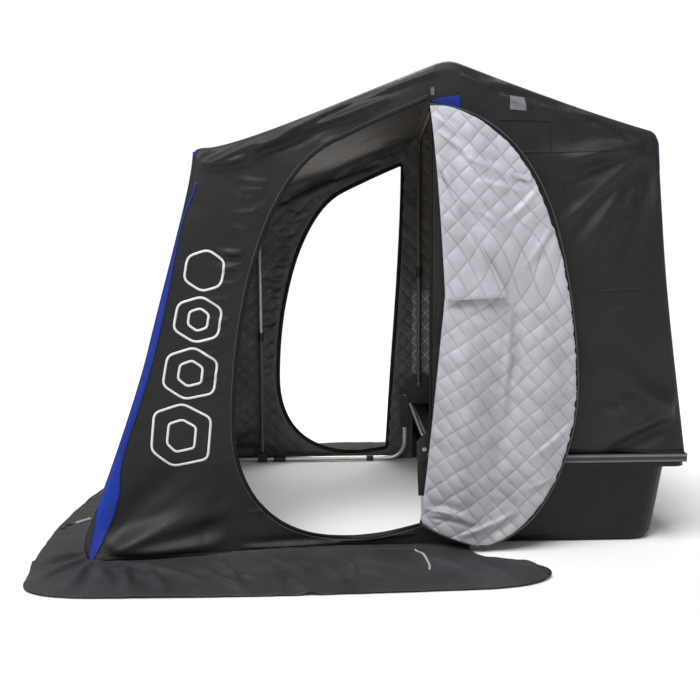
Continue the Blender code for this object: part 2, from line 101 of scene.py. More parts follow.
def curve(points, steps=24):
    """Points along a chain of cubic curves."""
    t = np.linspace(0, 1, steps, endpoint=False)[:, None]
    out = []
    for i in range(0, len(points) - 1, 3):
        a, b, c, d = np.array(points[i:i + 4], float)
        out.append(a * (1 - t) ** 3 + b * 3 * t * (1 - t) ** 2 + c * 3 * t * t * (1 - t) + d * t ** 3)
    return np.concatenate(out + [np.array([points[-1]], float)])


def lengths_along(line):
    """Distance of each point of a line from its start."""
    return np.concatenate([[0], np.cumsum(np.linalg.norm(np.diff(line, axis=0), axis=1))])


def resample(line, count):
    """Evenly spaced points along a line."""
    line = np.asarray(line, float)
    along = lengths_along(line)
    at = np.linspace(0, along[-1], count)
    return np.stack([np.interp(at, along, line[:, k]) for k in range(line.shape[1])], axis=1)


def away(start, turn, long):
    """The point at some distance from another, in a direction."""
    return start[0] + long * math.cos(turn), start[1] + long * math.sin(turn)


def step(x, low, high):
    """0 up to low, 1 from high on, and smooth between them."""
    t = np.clip((x - low) / (high - low), 0, 1)
    return t * t * (3 - 2 * t)


def hashed(i, j, seed):
    """A repeatable random value from 0 to 1 for two whole numbers."""
    h = (i * 374761393 + j * 668265263 + seed * 144665) & 0xFFFFFFFF
    h = ((h ^ (h >> 13)) * 1274126177) & 0xFFFFFFFF
    return ((h ^ (h >> 16)) & 0xFFFF) / 65535.0


def noise(x, y, scale, seed=0):
    """Smooth random values from -1 to 1."""
    x, y = np.asarray(x) / scale + 1000, np.asarray(y) / scale + 1000
    i, j = np.floor(x).astype(np.int64), np.floor(y).astype(np.int64)
    u, v = x - i, y - j
    u, v = u * u * (3 - 2 * u), v * v * (3 - 2 * v)
    a, b = hashed(i, j, seed), hashed(i + 1, j, seed)
    c, d = hashed(i, j + 1, seed), hashed(i + 1, j + 1, seed)
    return 2 * ((a * (1 - u) + b * u) * (1 - v) + (c * (1 - u) + d * u) * v) - 1


def fold(x, y, start, end, height, width, bow=0.0, fan=0.6):
    """One soft fold along a line: a crest with a shallow hollow on one side of it."""
    (x0, y0), (x1, y1) = start, end
    long = math.hypot(x1 - x0, y1 - y0)
    dx, dy = (x1 - x0) / long, (y1 - y0) / long
    t = ((x - x0) * dx + (y - y0) * dy) / long
    d = -(x - x0) * dy + (y - y0) * dx
    inside = np.clip(t, 0, 1)
    d = d - bow * np.sin(np.pi * inside)
    w = width * (1 - fan + fan * inside)
    along = np.sin(np.pi * inside) ** 0.8 * (t > 0) * (t < 1)
    crest = np.exp(-((d / w) ** 2))
    hollow = np.exp(-(((d - 1.9 * w) / (1.5 * w)) ** 2))
    return height * along * (crest - 0.55 * hollow)


def new_object(name, points, faces, uv, slots, materials):
    """A mesh of four-cornered faces. slots gives each face's material."""
    mesh = bpy.data.meshes.new(name)
    points = np.ascontiguousarray(points, np.float32)
    faces = np.ascontiguousarray(faces, np.int32)
    mesh.vertices.add(len(points))
    mesh.vertices.foreach_set("co", points.ravel())
    mesh.loops.add(faces.size)
    mesh.loops.foreach_set("vertex_index", faces.ravel())
    mesh.polygons.add(len(faces))
    mesh.polygons.foreach_set("loop_start", np.arange(0, faces.size, 4, dtype=np.int32))
    mesh.polygons.foreach_set("material_index", np.ascontiguousarray(slots, np.int32))
    mesh.polygons.foreach_set("use_smooth", np.full(len(faces), True))
    layer = mesh.uv_layers.new(name="UVMap")
    layer.data.foreach_set("uv", np.ascontiguousarray(uv[faces.ravel()], np.float32).ravel())
    for m in materials:
        mesh.materials.append(m)
    mesh.update(calc_edges=True)
    mesh.validate()
    obj = bpy.data.objects.new(name, mesh)
    bpy.context.scene.collection.objects.link(obj)
    return obj


def normals_of(grid, ring):
    """Unit normals of a grid of points."""
    if ring:
        du = np.roll(grid, -1, 0) - np.roll(grid, 1, 0)
    else:
        du = np.gradient(grid, axis=0)
    dv = np.gradient(grid, axis=1)
    n = np.cross(du, dv)
    long = np.linalg.norm(n, axis=2, keepdims=True)
    weak = long[..., 0] < 1e-12
    n = n / np.maximum(long, 1e-12)
    if weak.any():
        mean = n[~weak].mean(0)
        n[weak] = mean / np.linalg.norm(mean)
    return n


def grid_faces(n, m, ring):
    """The faces between the points of a grid."""
    rows = n if ring else n - 1
    i, j = np.meshgrid(np.arange(rows), np.arange(m - 1), indexing="ij")
    i2 = (i + 1) % n
    return np.stack([i * m + j, i2 * m + j, i2 * m + j + 1, i * m + j + 1], axis=-1).reshape(-1, 4)


def solid(name, outer, inner, uv, materials, ring=False):
    """A closed sheet between two grids of points. ring joins the grid's last row to its first.
    The materials are those of the outer face, the inner face and the edges."""
    n, m = outer.shape[:2]
    faces = grid_faces(n, m, ring)
    turned = ((outer - inner) * normals_of(outer, ring)).sum() < 0
    if turned:
        faces = faces[:, ::-1]
    count = n * m
    index = np.arange(count).reshape(n, m)
    if ring:
        edges = [np.append(index[:, 0], index[0, 0]),
                 np.append(index[:, -1], index[0, -1])[::-1]]
    else:
        edges = [index[:, 0], index[:, -1][::-1], index[0][::-1], index[-1]]
    rims = np.concatenate([np.stack([e[:-1], e[1:], e[1:] + count, e[:-1] + count], axis=1)
                           for e in edges])
    if not turned:
        rims = rims[:, ::-1]
    kinds = [min(k, len(materials) - 1) for k in range(3)]
    slots = np.repeat(kinds, [len(faces), len(faces), len(rims)])
    points = np.concatenate([outer.reshape(-1, 3), inner.reshape(-1, 3)])
    flat = np.asarray(uv, float).reshape(-1, 2)
    all_faces = np.concatenate([faces, faces[:, ::-1] + count, rims])
    return new_object(name, points, all_faces, np.concatenate([flat, flat]), slots, materials)


def cloth(name, grid, uv, out, thick, materials, ring=False):
    """A closed sheet: the grid is its outer face, and its inner face is thick below that.
    out is a direction that the outer face looks to."""
    normal = normals_of(grid, ring)
    if (normal.reshape(-1, 3) @ np.array(out, float)).mean() < 0:
        normal = -normal
    inner = grid - normal * np.broadcast_to(thick, grid.shape[:2])[..., None]
    return solid(name, grid, inner, uv, materials, ring)


def offset(line, by, closed=False):
    """A line moved sideways, to its left where by is more than 0."""
    line = np.asarray(line, float)
    if closed:
        ahead = np.roll(line, -1, 0) - np.roll(line, 1, 0)
    else:
        ahead = np.gradient(line, axis=0)
    ahead /= np.maximum(np.linalg.norm(ahead, axis=1, keepdims=True), 1e-9)
    return line + np.stack([-ahead[:, 1], ahead[:, 0]], axis=1) * np.reshape(by, (-1, 1))


def sewn(name, on, line, width, place, material, lift, rise,
         closed=False, across=4, base=STITCHED):
    """A narrow band sewn along a line of a cloth, a little thicker in its middle."""
    line = np.asarray(line, float)
    widths = np.broadcast_to(np.asarray(width, float), len(line))
    s = np.linspace(-0.5, 0.5, across + 1)
    flat = np.stack([offset(line, widths * t, closed) for t in s], axis=1)
    height = (lift + rise * (1 - (2 * s) ** 2))[None, :] * np.ones((len(line), 1))
    uv = np.stack([lengths_along(line)[:, None] * np.ones(len(s)), widths[:, None] * s], axis=-1)
    outer = place(flat[..., 0], flat[..., 1], height)
    inner = place(flat[..., 0], flat[..., 1], np.full_like(height, base))
    trim(solid(name, outer, inner, uv, [material], closed), on)


def applied(name, on, slot, left, right, place, material, lift, count, across):
    """A patch between two lines of a cloth, sewn down on it."""
    left, right = resample(left, count), resample(right, count)
    s = np.linspace(0, 1, across + 1)[None, :, None]
    flat = left[:, None] * (1 - s) + right[:, None] * s
    outer = place(flat[..., 0], flat[..., 1], np.full(flat.shape[:2], lift))
    inner = place(flat[..., 0], flat[..., 1], np.full(flat.shape[:2], STITCHED))
    trim(solid(name, outer, inner, flat, [material]), on)


def patch(left, right, bottom, top):
    """Points filling a four-sided outline. left and right run upwards, bottom and top rightwards."""
    n, m = len(bottom), len(left)
    u = np.linspace(0, 1, n)[:, None, None]
    v = np.linspace(0, 1, m)[None, :, None]
    ruled_v = bottom[:, None] * (1 - v) + top[:, None] * v
    ruled_u = left[None] * (1 - u) + right[None] * u
    corners = (bottom[0] * (1 - u) * (1 - v) + bottom[-1] * u * (1 - v)
               + top[0] * (1 - u) * v + top[-1] * u * v)
    return ruled_v + ruled_u - corners


# ---- materials ----------------------------------------------------------------------
def srgb(r, g, b):
    """A colour from its usual values of 0 to 255."""
    return tuple((c / 255 / 12.92) if c <= 10 else ((c / 255 + 0.055) / 1.055) ** 2.4
                 for c in (r, g, b)) + (1,)


def grey(v):
    return (v, v, v, 1)


class Maker:
    """A material with a Principled shader, and short ways to add nodes to it."""

    def __init__(self, name, colour, rough, metallic=0.0, sheen=0.0):
        self.m = bpy.data.materials.new(name)
        self.m.use_nodes = True
        self.tree = self.m.node_tree
        self.shader = self.tree.nodes["Principled BSDF"]
        self.shader.inputs["Base Color"].default_value = colour
        self.shader.inputs["Roughness"].default_value = rough
        self.shader.inputs["Metallic"].default_value = metallic
        self.shader.inputs["Sheen Weight"].default_value = sheen
        self.shader.inputs["Sheen Roughness"].default_value = 0.4
        self.height = None

    def add(self, kind, inputs=None, **settings):
        """A new node, with its settings and the values of its inputs."""
        n = self.tree.nodes.new(kind)
        for k, v in settings.items():
            setattr(n, k, v)
        for k, v in (inputs or {}).items():
            n.inputs[k].default_value = v
        return n

    def link(self, a, b):
        self.tree.links.new(a, b)

    def coords(self, kind="UV", scale=(1, 1, 1), turn=0.0):
        c = self.add("ShaderNodeTexCoord")
        m = self.add("ShaderNodeMapping", {"Scale": scale, "Rotation": (0, 0, turn)})
        self.link(c.outputs[kind], m.inputs["Vector"])
        return m.outputs["Vector"]

    def axes(self, kind):
        """The separate X, Y and Z of the coordinates."""
        n = self.add("ShaderNodeSeparateXYZ")
        self.link(self.coords(kind), n.inputs[0])
        return n.outputs

    def noise(self, scale, detail=3.0, rough=0.55, kind="UV", stretch=(1, 1, 1)):
        n = self.add("ShaderNodeTexNoise", {"Scale": scale, "Detail": detail, "Roughness": rough})
        self.link(self.coords(kind, stretch), n.inputs["Vector"])
        return n.outputs["Fac"]

    def wave(self, scale, turn=0.0):
        n = self.add("ShaderNodeTexWave", {"Scale": scale, "Distortion": 0.0},
                     wave_type="BANDS", bands_direction="X", wave_profile="SIN")
        self.link(self.coords("UV", turn=turn), n.inputs["Vector"])
        return n.outputs["Fac"]

    def math(self, how, a, b=0):
        n = self.add("ShaderNodeMath", operation=how)
        for k, v in enumerate((a, b)):
            if isinstance(v, (int, float)):
                n.inputs[k].default_value = v
            else:
                self.link(v, n.inputs[k])
        return n.outputs[0]

    def ramp(self, value, stops):
        n = self.add("ShaderNodeValToRGB")
        while len(n.color_ramp.elements) < len(stops):
            n.color_ramp.elements.new(0.5)
        for e, (at, colour) in zip(n.color_ramp.elements, stops):
            e.position = at
            e.color = colour
        self.link(value, n.inputs[0])
        return n.outputs["Color"]

    def mix(self, factor, a, b, how="MIX"):
        """Two colours mixed. factor is a number or an output."""
        n = self.add("ShaderNodeMix", data_type="RGBA", blend_type=how)
        if isinstance(factor, float):
            n.inputs["Factor"].default_value = factor
        else:
            self.link(factor, n.inputs["Factor"])
        self.link(a, n.inputs["A"])
        self.link(b, n.inputs["B"])
        self.link(n.outputs["Result"], self.shader.inputs["Base Color"])

    def colour(self, value, stops):
        self.link(self.ramp(value, stops), self.shader.inputs["Base Color"])

    def shade(self, value, stops):
        """Darkens or lightens the base colour that is already there."""
        base = self.shader.inputs["Base Color"].links[0].from_socket
        self.mix(1.0, base, self.ramp(value, stops), "MULTIPLY")

    def specular(self, level):
        self.shader.inputs["Specular IOR Level"].default_value = level

    def rough(self, value, low, high):
        n = self.add("ShaderNodeMapRange", {"To Min": low, "To Max": high})
        self.link(value, n.inputs["Value"])
        self.link(n.outputs["Result"], self.shader.inputs["Roughness"])

    def bump(self, value, distance, strength=1.0):
        n = self.add("ShaderNodeBump", {"Distance": distance, "Strength": strength})
        self.link(value, n.inputs["Height"])
        if self.height is not None:
            self.link(self.height, n.inputs["Normal"])
        self.height = n.outputs["Normal"]
        self.link(self.height, self.shader.inputs["Normal"])

    def diamonds(self, pitch):
        """0 on the stitched lines of the quilting, rising to 1 between them."""
        xyz = self.axes("UV")
        per = math.pi / (math.sqrt(2) * pitch)
        ways = [self.math("MULTIPLY", self.math(how, xyz["X"], xyz["Y"]), per) for how in ("ADD", "SUBTRACT")]
        return self.math("MINIMUM", *[self.math("ABSOLUTE", self.math("SINE", w)) for w in ways])


def shell(name, dark, light, rough, gloss):
    """Coated woven outer fabric with a faint pressed diamond pattern."""
    k = Maker(name, srgb(*dark), 0.6, sheen=0.03)
    k.specular(gloss)
    k.colour(k.noise(3.2, 5.0), [(0.30, srgb(*dark)), (0.72, srgb(*light))])
    k.shade(k.noise(60, 3.0, 0.7), [(0.35, grey(0.80)), (0.65, grey(1.0))])
    k.rough(k.noise(22, 2.0), *rough)
    k.bump(k.noise(7, 4.0, stretch=(1.0, 1.6, 1)), 0.0035, 0.5)
    k.shade(k.diamonds(0.018), [(0.05, grey(0.86)), (0.40, grey(1.0))])
    k.bump(k.diamonds(0.018), 0.0007, 0.4)
    k.bump(k.math("ADD", k.wave(260), k.wave(260, math.radians(90))), 0.00012, 0.5)
    return k.m


def quilt(name, dark, light, rough, gloss=0.5, line=0.78, painted_top_light=False):
    """Quilted lining: the cushions are in the mesh; the stitch lines, darkened with dirt and painted shade in
    their grooves, and the crinkles are here.
    """
    k = Maker(name, srgb(*light), rough[0], sheen=0.05)
    k.specular(gloss)
    k.colour(k.noise(9, 5.0, 0.6), [(0.28, srgb(*dark)), (0.70, srgb(*light))])
    # dirt and painted shade: darker along the stitched grooves
    k.shade(k.diamonds(PITCH), [(0.02, grey(line)), (0.20, grey(1.0))])
    if painted_top_light:  # painted light from above: lighter towards the top, darker towards the ground
        up = k.math("MULTIPLY", k.axes("Object")["Z"], 0.55)
        k.shade(up, [(0.0, grey(0.78)), (0.35, grey(0.86)), (0.60, grey(0.93)), (0.95, grey(1.14))])
    k.rough(k.noise(30, 2.0), *rough)
    k.bump(k.noise(38, 4.0, 0.6), 0.0020, 0.5)
    k.bump(k.noise(150, 2.0, 0.5), 0.0004, 0.4)
    return k.m


def two_tone():
    """Lining of the sled's end: brown above, and light grey with pale stitching below."""
    k = Maker("lining_sled_end", grey(0.1), 0.55, sheen=0.05)
    height = k.axes("UV")["Y"]
    upper = k.ramp(k.noise(9, 4.0), [(0.3, srgb(66, 60, 54)), (0.7, srgb(88, 80, 72))])
    lower = k.ramp(k.diamonds(PITCH), [(0.03, srgb(188, 188, 190)), (0.20, srgb(112, 112, 114))])
    k.mix(k.math("GREATER_THAN", height, 1.03), lower, upper)
    k.bump(k.noise(38, 4.0, 0.6), 0.0018, 0.5)
    return k.m


def plain(name, dark, light, rough, grain, metallic=0.0, kind="Object", stretch=(1, 1, 1)):
    """Plastic, paint or metal: slight changes of colour and gloss, and a fine grain."""
    k = Maker(name, srgb(*dark), rough[0], metallic)
    k.colour(k.noise(6, 5.0, 0.6, kind, stretch), [(0.3, srgb(*dark)), (0.7, srgb(*light))])
    k.rough(k.noise(45, 3.0, 0.6, kind, stretch), *rough)
    k.bump(k.noise(grain[0], 2.0, 0.6, kind, stretch), grain[1], 0.6)
    return k


def narrow(name, dark, light, rough, grain):
    """Tape or print, which takes its pattern from the flat coordinates."""
    return plain(name, dark, light, rough, grain, kind="UV")


PITCH = 0.060
BLACK = shell("shell_black", (13, 13, 14), (24, 24, 26), (0.46, 0.62), 0.42)
SKIRT = shell("skirt_cloth", (44, 43, 46), (66, 65, 69), (0.5, 0.68), 0.35)
BLUE = shell("shell_blue", (8, 38, 138), (20, 62, 184), (0.46, 0.62), 0.3)
LINING = quilt("lining_dark", (62, 60, 61), (88, 86, 88), (0.45, 0.65))
CEILING = quilt("lining_roof", (72, 65, 57), (96, 88, 79), (0.5, 0.7), 0.4)
# painted light from above on the silver lining: lighter towards its top, darker towards the ground
SILVER = quilt("lining_silver", (168, 168, 175), (192, 193, 200), (0.42, 0.58), line=0.76, painted_top_light=True)
SLED_END = two_tone()

binding = narrow("binding", (11, 11, 12), (19, 19, 20), (0.5, 0.7), (500, 0.0003))
binding.specular(0.25)
BINDING = binding.m
zip_tape = narrow("zip_tape", (10, 10, 11), (17, 17, 18), (0.45, 0.6), (600, 0.0002))
zip_tape.specular(0.25)
zip_tape.bump(zip_tape.wave(120), 0.0004, 0.6)
ZIP = zip_tape.m
zip_coil = narrow("zip_coil", (44, 44, 46), (66, 66, 68), (0.3, 0.45), (600, 0.0001))
zip_coil.bump(zip_coil.wave(100), 0.0006, 0.9)
COIL = zip_coil.m
WHITE = narrow("printed_white", (214, 214, 217), (236, 236, 238), (0.5, 0.7), (260, 0.0002)).m
PATCH = narrow("patch_grey", (112, 112, 116), (136, 136, 140), (0.6, 0.8), (400, 0.0003)).m
WEBBING = narrow("webbing_grey", (150, 149, 147), (184, 183, 181), (0.6, 0.8), (400, 0.0004)).m

tub = plain("moulded_plastic", (12, 11, 11), (21, 20, 19), (0.36, 0.52), (420, 0.0003))
tub.specular(0.28)
tub.bump(tub.noise(9, 3.0, 0.5, "Object"), 0.004, 0.35)
tub.shade(tub.noise(24, 6.0, 0.75, "Object", (1, 1, 0.15)), [(0.58, grey(1.0)), (0.74, grey(1.7))])
# painted highlights on the strip's ribs and painted shade in its grooves, as light and dark lines over its
# height
strip = plain("rim_extrusion", (70, 69, 73), (84, 83, 88), (0.34, 0.5), (400, 0.0001), 0.2)
strip_height = strip.math("DIVIDE", strip.math("SUBTRACT", strip.axes("Object")["Z"], 0.3450), 0.0347)
strip.shade(strip_height, [
    (0.0, grey(0.6)), (0.20, grey(1.9)), (0.30, grey(0.30)), (0.62, grey(0.34)),
    (0.70, grey(2.1)), (0.86, grey(2.0)), (0.92, grey(0.5)),
])
dark_tube = plain("dark_tube", (84, 80, 77), (104, 100, 97), (0.30, 0.44), (420, 0.0001), 0.55,
                  stretch=(1, 1, 0.08))
dark_tube.specular(0.6)
FINISHES = {
    "sled_plastic": tub.m,
    "rim_strip": strip.m,
    "black_plate": plain("painted_plate", (24, 22, 22), (36, 34, 33), (0.40, 0.55), (160, 0.0003), 0.1).m,
    "zinc_bolt": plain("zinc", (150, 150, 152), (188, 188, 190), (0.28, 0.45), (300, 0.0001), 0.95).m,
    "black_plastic": plain("black_fittings", (20, 19, 20), (30, 29, 29), (0.38, 0.52), (260, 0.0003)).m,
    "zip_black": plain("zip_metal", (120, 120, 122), (160, 160, 162), (0.25, 0.4), (300, 0.0001), 0.9).m,
    "black_tube": dark_tube.m,
    "aluminium_tube": plain("bright_tube", (196, 194, 190), (222, 220, 216), (0.26, 0.40),
                            (420, 0.0001), 0.80, stretch=(0.08, 1, 1)).m,
}

# ---- the side walls' shape ----------------------------------------------------------
front_curve = resample(curve(FRONT_WALL), 105)
roof_curve = resample(curve(ROOF), 201)
# towards the ridge the roof's cloth stands up to 9 mm above its outline
roof_curve[:, 1] += 0.009 * np.clip((roof_curve[:, 1] - 1.55) / 0.35, 0, 1)
rear_curve = resample(curve(REAR_WALL), 89)
opening = resample(curve(OPENING), 185)
far_edge = curve(FAR_EDGE, 12)


def roof_z(x):
    """Height of the roof's edge."""
    return np.interp(x, roof_curve[:, 0], roof_curve[:, 1])


def front_x(z):
    """Where the front wall is at a height."""
    return np.interp(z, front_curve[:, 1], front_curve[:, 0])


def rear_x(z):
    """Where the rear wall is at a height."""
    return np.interp(z, rear_curve[:, 1], rear_curve[:, 0])


def rounding(d, r):
    """How far a surface turns in at a distance d from a rounded edge of radius r."""
    inner = np.clip(r - d, 0, r)
    return r - np.sqrt(np.maximum(r * r - inner * inner, 0))


def fan(corner, first, last, count, reach, height, width, seed):
    """Folds that spread out of a corner, from one direction to another in degrees."""
    out = []
    for k in range(count):
        turn = math.radians(first + (last - first) * (k + 0.5 * hashed(k, 4, seed)) / count)
        start = away(corner, turn, 0.03)
        end = away(start, turn, reach * (0.55 + 0.45 * hashed(k, 2, seed)))
        out.append((start, end, height * (0.7 + 0.5 * hashed(k, 6, seed)),
                    width * (0.7 + 0.5 * hashed(k, 8, seed))))
    return out


def along_roof(first, last, count, slope, reach, height, width, seed):
    """Folds under the roof's edge, nearly as steep as the roof, with hollows among the crests."""
    out = []
    for k in range(count):
        x = first + (last - first) * k / (count - 1)
        z = float(roof_z(x)) - 0.025 - 0.075 * hashed(k, 2, seed)
        turn = math.radians(slope + 9 * (hashed(k, 4, seed) - 0.5))
        end = away((x, z), turn, reach * (0.6 + 0.4 * hashed(k, 6, seed)))
        sign = -0.7 if k % 4 == 3 else 1
        out.append(((x, z), end, sign * height, width))
    return out


FRONT_FOLDS = (
    fan((-0.97, 1.51), 12, 32, 4, 0.38, 0.014, 0.013, 101)
    + along_roof(-0.86, -0.40, 9, 25, 0.44, 0.012, 0.011, 103)
    + fan((-1.34, 0.03), 2, 40, 8, 0.62, 0.015, 0.022, 105)
    + [((-0.82, 0.03), (-0.41, 0.03), 0.008, 0.008), ((-0.47, 0.03), (-0.11, 0.07), 0.008, 0.007)]
)
REAR_FOLDS = (
    fan((0.81, 1.62), 184, 256, 6, 0.52, 0.018, 0.025, 107)
    + along_roof(0.05, 0.60, 8, -19, 0.22, 0.010, 0.009, 109)
    + fan((0.96, 0.56), 150, 215, 6, 0.38, 0.016, 0.024, 111)
)


def flare(x, z):
    """The foot of the walls spreads out towards the front corners."""
    return 0.080 * step(-x, 0.35, 1.36) * np.clip(1 - z / 0.26, 0, 1) ** 1.7


def lean_in(down):
    """How far a side wall leans in at a depth below the roof."""
    return LEAN * np.clip(1 - down / LEAN_START, 0, 1) ** 1.6


def side_bulge(x, z, side):
    """How far the cloth of a side wall stands out of the wall's plane."""
    seed = 3 if side == "near" else 11
    folds = np.zeros_like(x)
    for k, (a, b, height, width) in enumerate(FRONT_FOLDS + REAR_FOLDS):
        bow = 0.030 * (hashed(k, 1, seed) - 0.5) * (1 if width > 0.012 else 0.5)
        folds = folds + fold(x, z, a, b, 1.25 * height, 1.75 * width, bow, 0.3)
    for k in range(30):  # short pulls beside the doorway
        z0 = 0.55 + 0.95 * hashed(k, 3, seed)
        start = (-0.84 + 0.30 * max(0.0, z0 - 0.75) ** 1.6 - 0.02, z0)
        turn = math.pi + 0.5 * (hashed(k, 4, seed) - 0.5) - 0.25 * (z0 - 1.1)
        end = away(start, turn, 0.05 + 0.10 * hashed(k, 8, seed))
        folds = folds + fold(x, z, start, end, 0.0020 + 0.004 * hashed(k, 6, seed), 0.013, 0.006, 0.2)
    for k in range(34):  # short creases, in no order
        start = (-1.2 + 2.1 * hashed(k, 5, seed), 0.15 + 1.5 * hashed(k, 9, seed))
        turn = -0.35 + 0.9 * hashed(k, 2, seed) + (0.5 if start[0] > 0 else 0.0)
        end = away(start, turn, 0.06 + 0.14 * hashed(k, 7, seed))
        folds = folds + fold(x, z, start, end, 0.003, 0.012, 0.004, 0.2)
    folds = folds + 0.0060 * noise(x + 0.6 * z, z, 0.21, seed)
    folds = folds + 0.0020 * noise(x, z + 0.4 * x, 0.075, seed + 1)
    down = roof_z(x) - z
    edge = np.minimum(x - front_x(z), rear_x(z) - x)
    free = (0.35 + 0.65 * step(down, 0.0, 0.05)) * step(edge, 0.0, 0.05)
    low = step(z, 0.0, 0.03)
    # the cloth is drawn in between the bows
    between = np.sin(np.pi * np.clip(np.where(x < 0, x / -0.94, x / 0.80), 0, 1))
    drawn = -0.016 * np.clip(between, 0, 1) * step(down, 0.0, 0.5)
    turned = rounding(down, SHOULDER) + rounding(edge, CORNER)
    shut = step(down, 0.0, 0.004)
    return (folds * low + drawn) * free * shut - np.minimum(turned, SHOULDER) - lean_in(down) + flare(x, z)


def side_surface(side):
    """A function that gives the points of a side wall, lifted off its cloth."""
    def surface(x, z, lift):
        x, z = np.asarray(x, float), np.asarray(z, float)
        y = WIDE + side_bulge(x, z, side) + lift
        return np.stack([x + APEX_X, SIDES[side] * y, z + np.zeros_like(x)], axis=-1)
    return surface


def cushion(u, v, height):
    """Height of the quilting between its stitched lines."""
    a, b = (u + v) / math.sqrt(2) / PITCH, (u - v) / math.sqrt(2) / PITCH
    puff = (np.abs(np.sin(np.pi * a)) * np.abs(np.sin(np.pi * b))) ** 0.42
    lumpy = 1 + 0.30 * noise(a, b, 1.7, 81)
    return height * puff * lumpy


def padded(flat, share=1.0):
    """Thickness of the canopy's cloth with its quilted lining."""
    return CLOTH + CUSHION * share * cushion(flat[..., 0], flat[..., 1], 1.0)


def ring_angles(corners, centre, count):
    """Directions round a centre, with one through each corner."""
    turns = np.unwrap([math.atan2(z - centre[1], x - centre[0]) for x, z in corners])
    turns = np.sort(turns % (2 * math.pi))
    turns = np.append(turns, turns[0] + 2 * math.pi)
    out = []
    for a, b in zip(turns, turns[1:]):
        out.append(np.linspace(a, b, max(4, int(round(count * (b - a) / (2 * math.pi)))), endpoint=False))
    return np.concatenate(out)


def cast(loop, centre, turns):
    """Where rays from the centre meet a closed outline."""
    loop = np.asarray(loop, float)
    a, b = loop - centre, np.roll(loop, -1, 0) - centre
    out = []
    for t in turns:
        d = np.array([math.cos(t), math.sin(t)])
        e = b - a
        cross = d[0] * e[:, 1] - d[1] * e[:, 0]
        cross = np.where(np.abs(cross) < 1e-12, 1e-12, cross)
        r = (a[:, 0] * e[:, 1] - a[:, 1] * e[:, 0]) / cross
        s = (a[:, 0] * d[1] - a[:, 1] * d[0]) / cross
        good = (r > 1e-6) & (s >= -1e-6) & (s <= 1 + 1e-6)
        out.append(centre + d * r[good].min())
    return np.array(out)


# each cloth, with the size of its flat pattern, how it is held, what is sewn on it, the body that carries it,
# and whether it has a mesh of its own
sheets = {}


def carry(obj, body, flat_down):
    """Rides a piece on a body, and gives it a mesh of its own where flat_down is set."""
    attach(obj, body)
    if flat_down:
        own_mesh(obj)


def cut_size(uv, ring):
    """Width, length and area of a flat pattern, from its grid of flat coordinates."""
    if ring:
        loops = [uv[:, 0], uv[:, -1]]
    else:
        loops = [np.concatenate([uv[0], uv[1:, -1], uv[-1, ::-1][1:], uv[::-1, 0][1:-1]])]
    areas = [abs(np.sum(p[:, 0] * np.roll(p[:, 1], -1) - np.roll(p[:, 0], -1) * p[:, 1])) / 2 for p in loops]
    width, length = np.ptp(uv.reshape(-1, 2), axis=0)
    return float(width), float(length), float(max(areas) - (min(areas) if ring else 0))


def hang(obj, body, node, uv, held, ring=False, flat_down=True):
    """Puts a cloth in the place of its plain CAD solid."""
    carry(obj, body, flat_down)
    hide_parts(node)
    sheets[obj.name] = {"obj": obj, "cut": cut_size(uv, ring), "held": held, "sewn_on": [],
                        "body": body, "flat_down": flat_down}


def trim(obj, cloth_name):
    """Something sewn on a cloth, which goes wherever that goes."""
    row = sheets[cloth_name]
    carry(obj, row["body"], row["flat_down"])
    row["sewn_on"].append(obj)


split_top = float(roof_z(SPLIT_X))
roof_front = roof_curve[roof_curve[:, 0] < SPLIT_X - 1e-6]
outer_loop = np.concatenate([front_curve, roof_front[1:], [(SPLIT_X, split_top), (SPLIT_X, 0.0)]])
centre = np.array([-0.40, 0.92])
corner_points = [
    (FOOT_X, 0.0), (-0.98, 1.585), (SPLIT_X, split_top), (SPLIT_X, 0.0),
    OPENING[0], OPENING[-1], FAR_EDGE[0], FAR_EDGE[-1],
]
turns = ring_angles(corner_points, centre, 780)
outer_ring = cast(outer_loop, centre, turns)
# rows from the doorway outwards, closer together towards the wall's edges
share = 1 - (1 - np.linspace(0, 1, 90)) ** 1.4
doorways = {}
for side, sign in SIDES.items():
    doorway = opening
    if side == "far":
        rear = np.interp(opening[:, 1], far_edge[:, 1], far_edge[:, 0])
        doorway = np.vstack([opening[opening[:, 0] < rear - 0.004], far_edge])
    doorways[side] = doorway
    inner_ring = cast(doorway, centre, turns)
    flat = inner_ring[:, None] + (outer_ring - inner_ring)[:, None] * share[None, :, None]
    grid = side_surface(side)(flat[..., 0], flat[..., 1], 0.0)
    # no quilting beside the doorway, where the lining is bound
    hem = step(share[None] * np.linalg.norm(outer_ring - inner_ring, axis=1)[:, None], 0.030, 0.048)
    obj = cloth(f"canvas_side_front_{side}", grid, flat, (0, sign, 0), padded(flat, hem),
                [BLACK, LINING, BINDING], ring=True)
    hang(obj, "base_bow", f"side_wall_front_{side}", flat, "stretched", ring=True)

split_edge = SPLIT_X - 0.004  # the rear half reaches 4 mm past the split, into the front half
left = np.stack([np.full(240, split_edge), np.linspace(RIM_Z, split_top, 240)], axis=1)
right = resample(rear_curve, 240)
bottom = np.stack([np.linspace(split_edge, right[0, 0], 180), np.full(180, RIM_Z)], axis=1)
roof_rear = roof_curve[roof_curve[:, 0] > SPLIT_X]
top = resample(np.concatenate([[(split_edge, split_top)], roof_rear]), 180)
rear_flat = patch(left, right, bottom, top)
for side, sign in SIDES.items():
    grid = side_surface(side)(rear_flat[..., 0], rear_flat[..., 1], 0.0)
    obj = cloth(f"canvas_side_rear_{side}", grid, rear_flat, (0, sign, 0), padded(rear_flat),
                [BLACK, SLED_END, BINDING])
    hang(obj, "sled", f"side_wall_rear_{side}", rear_flat, "stretched")


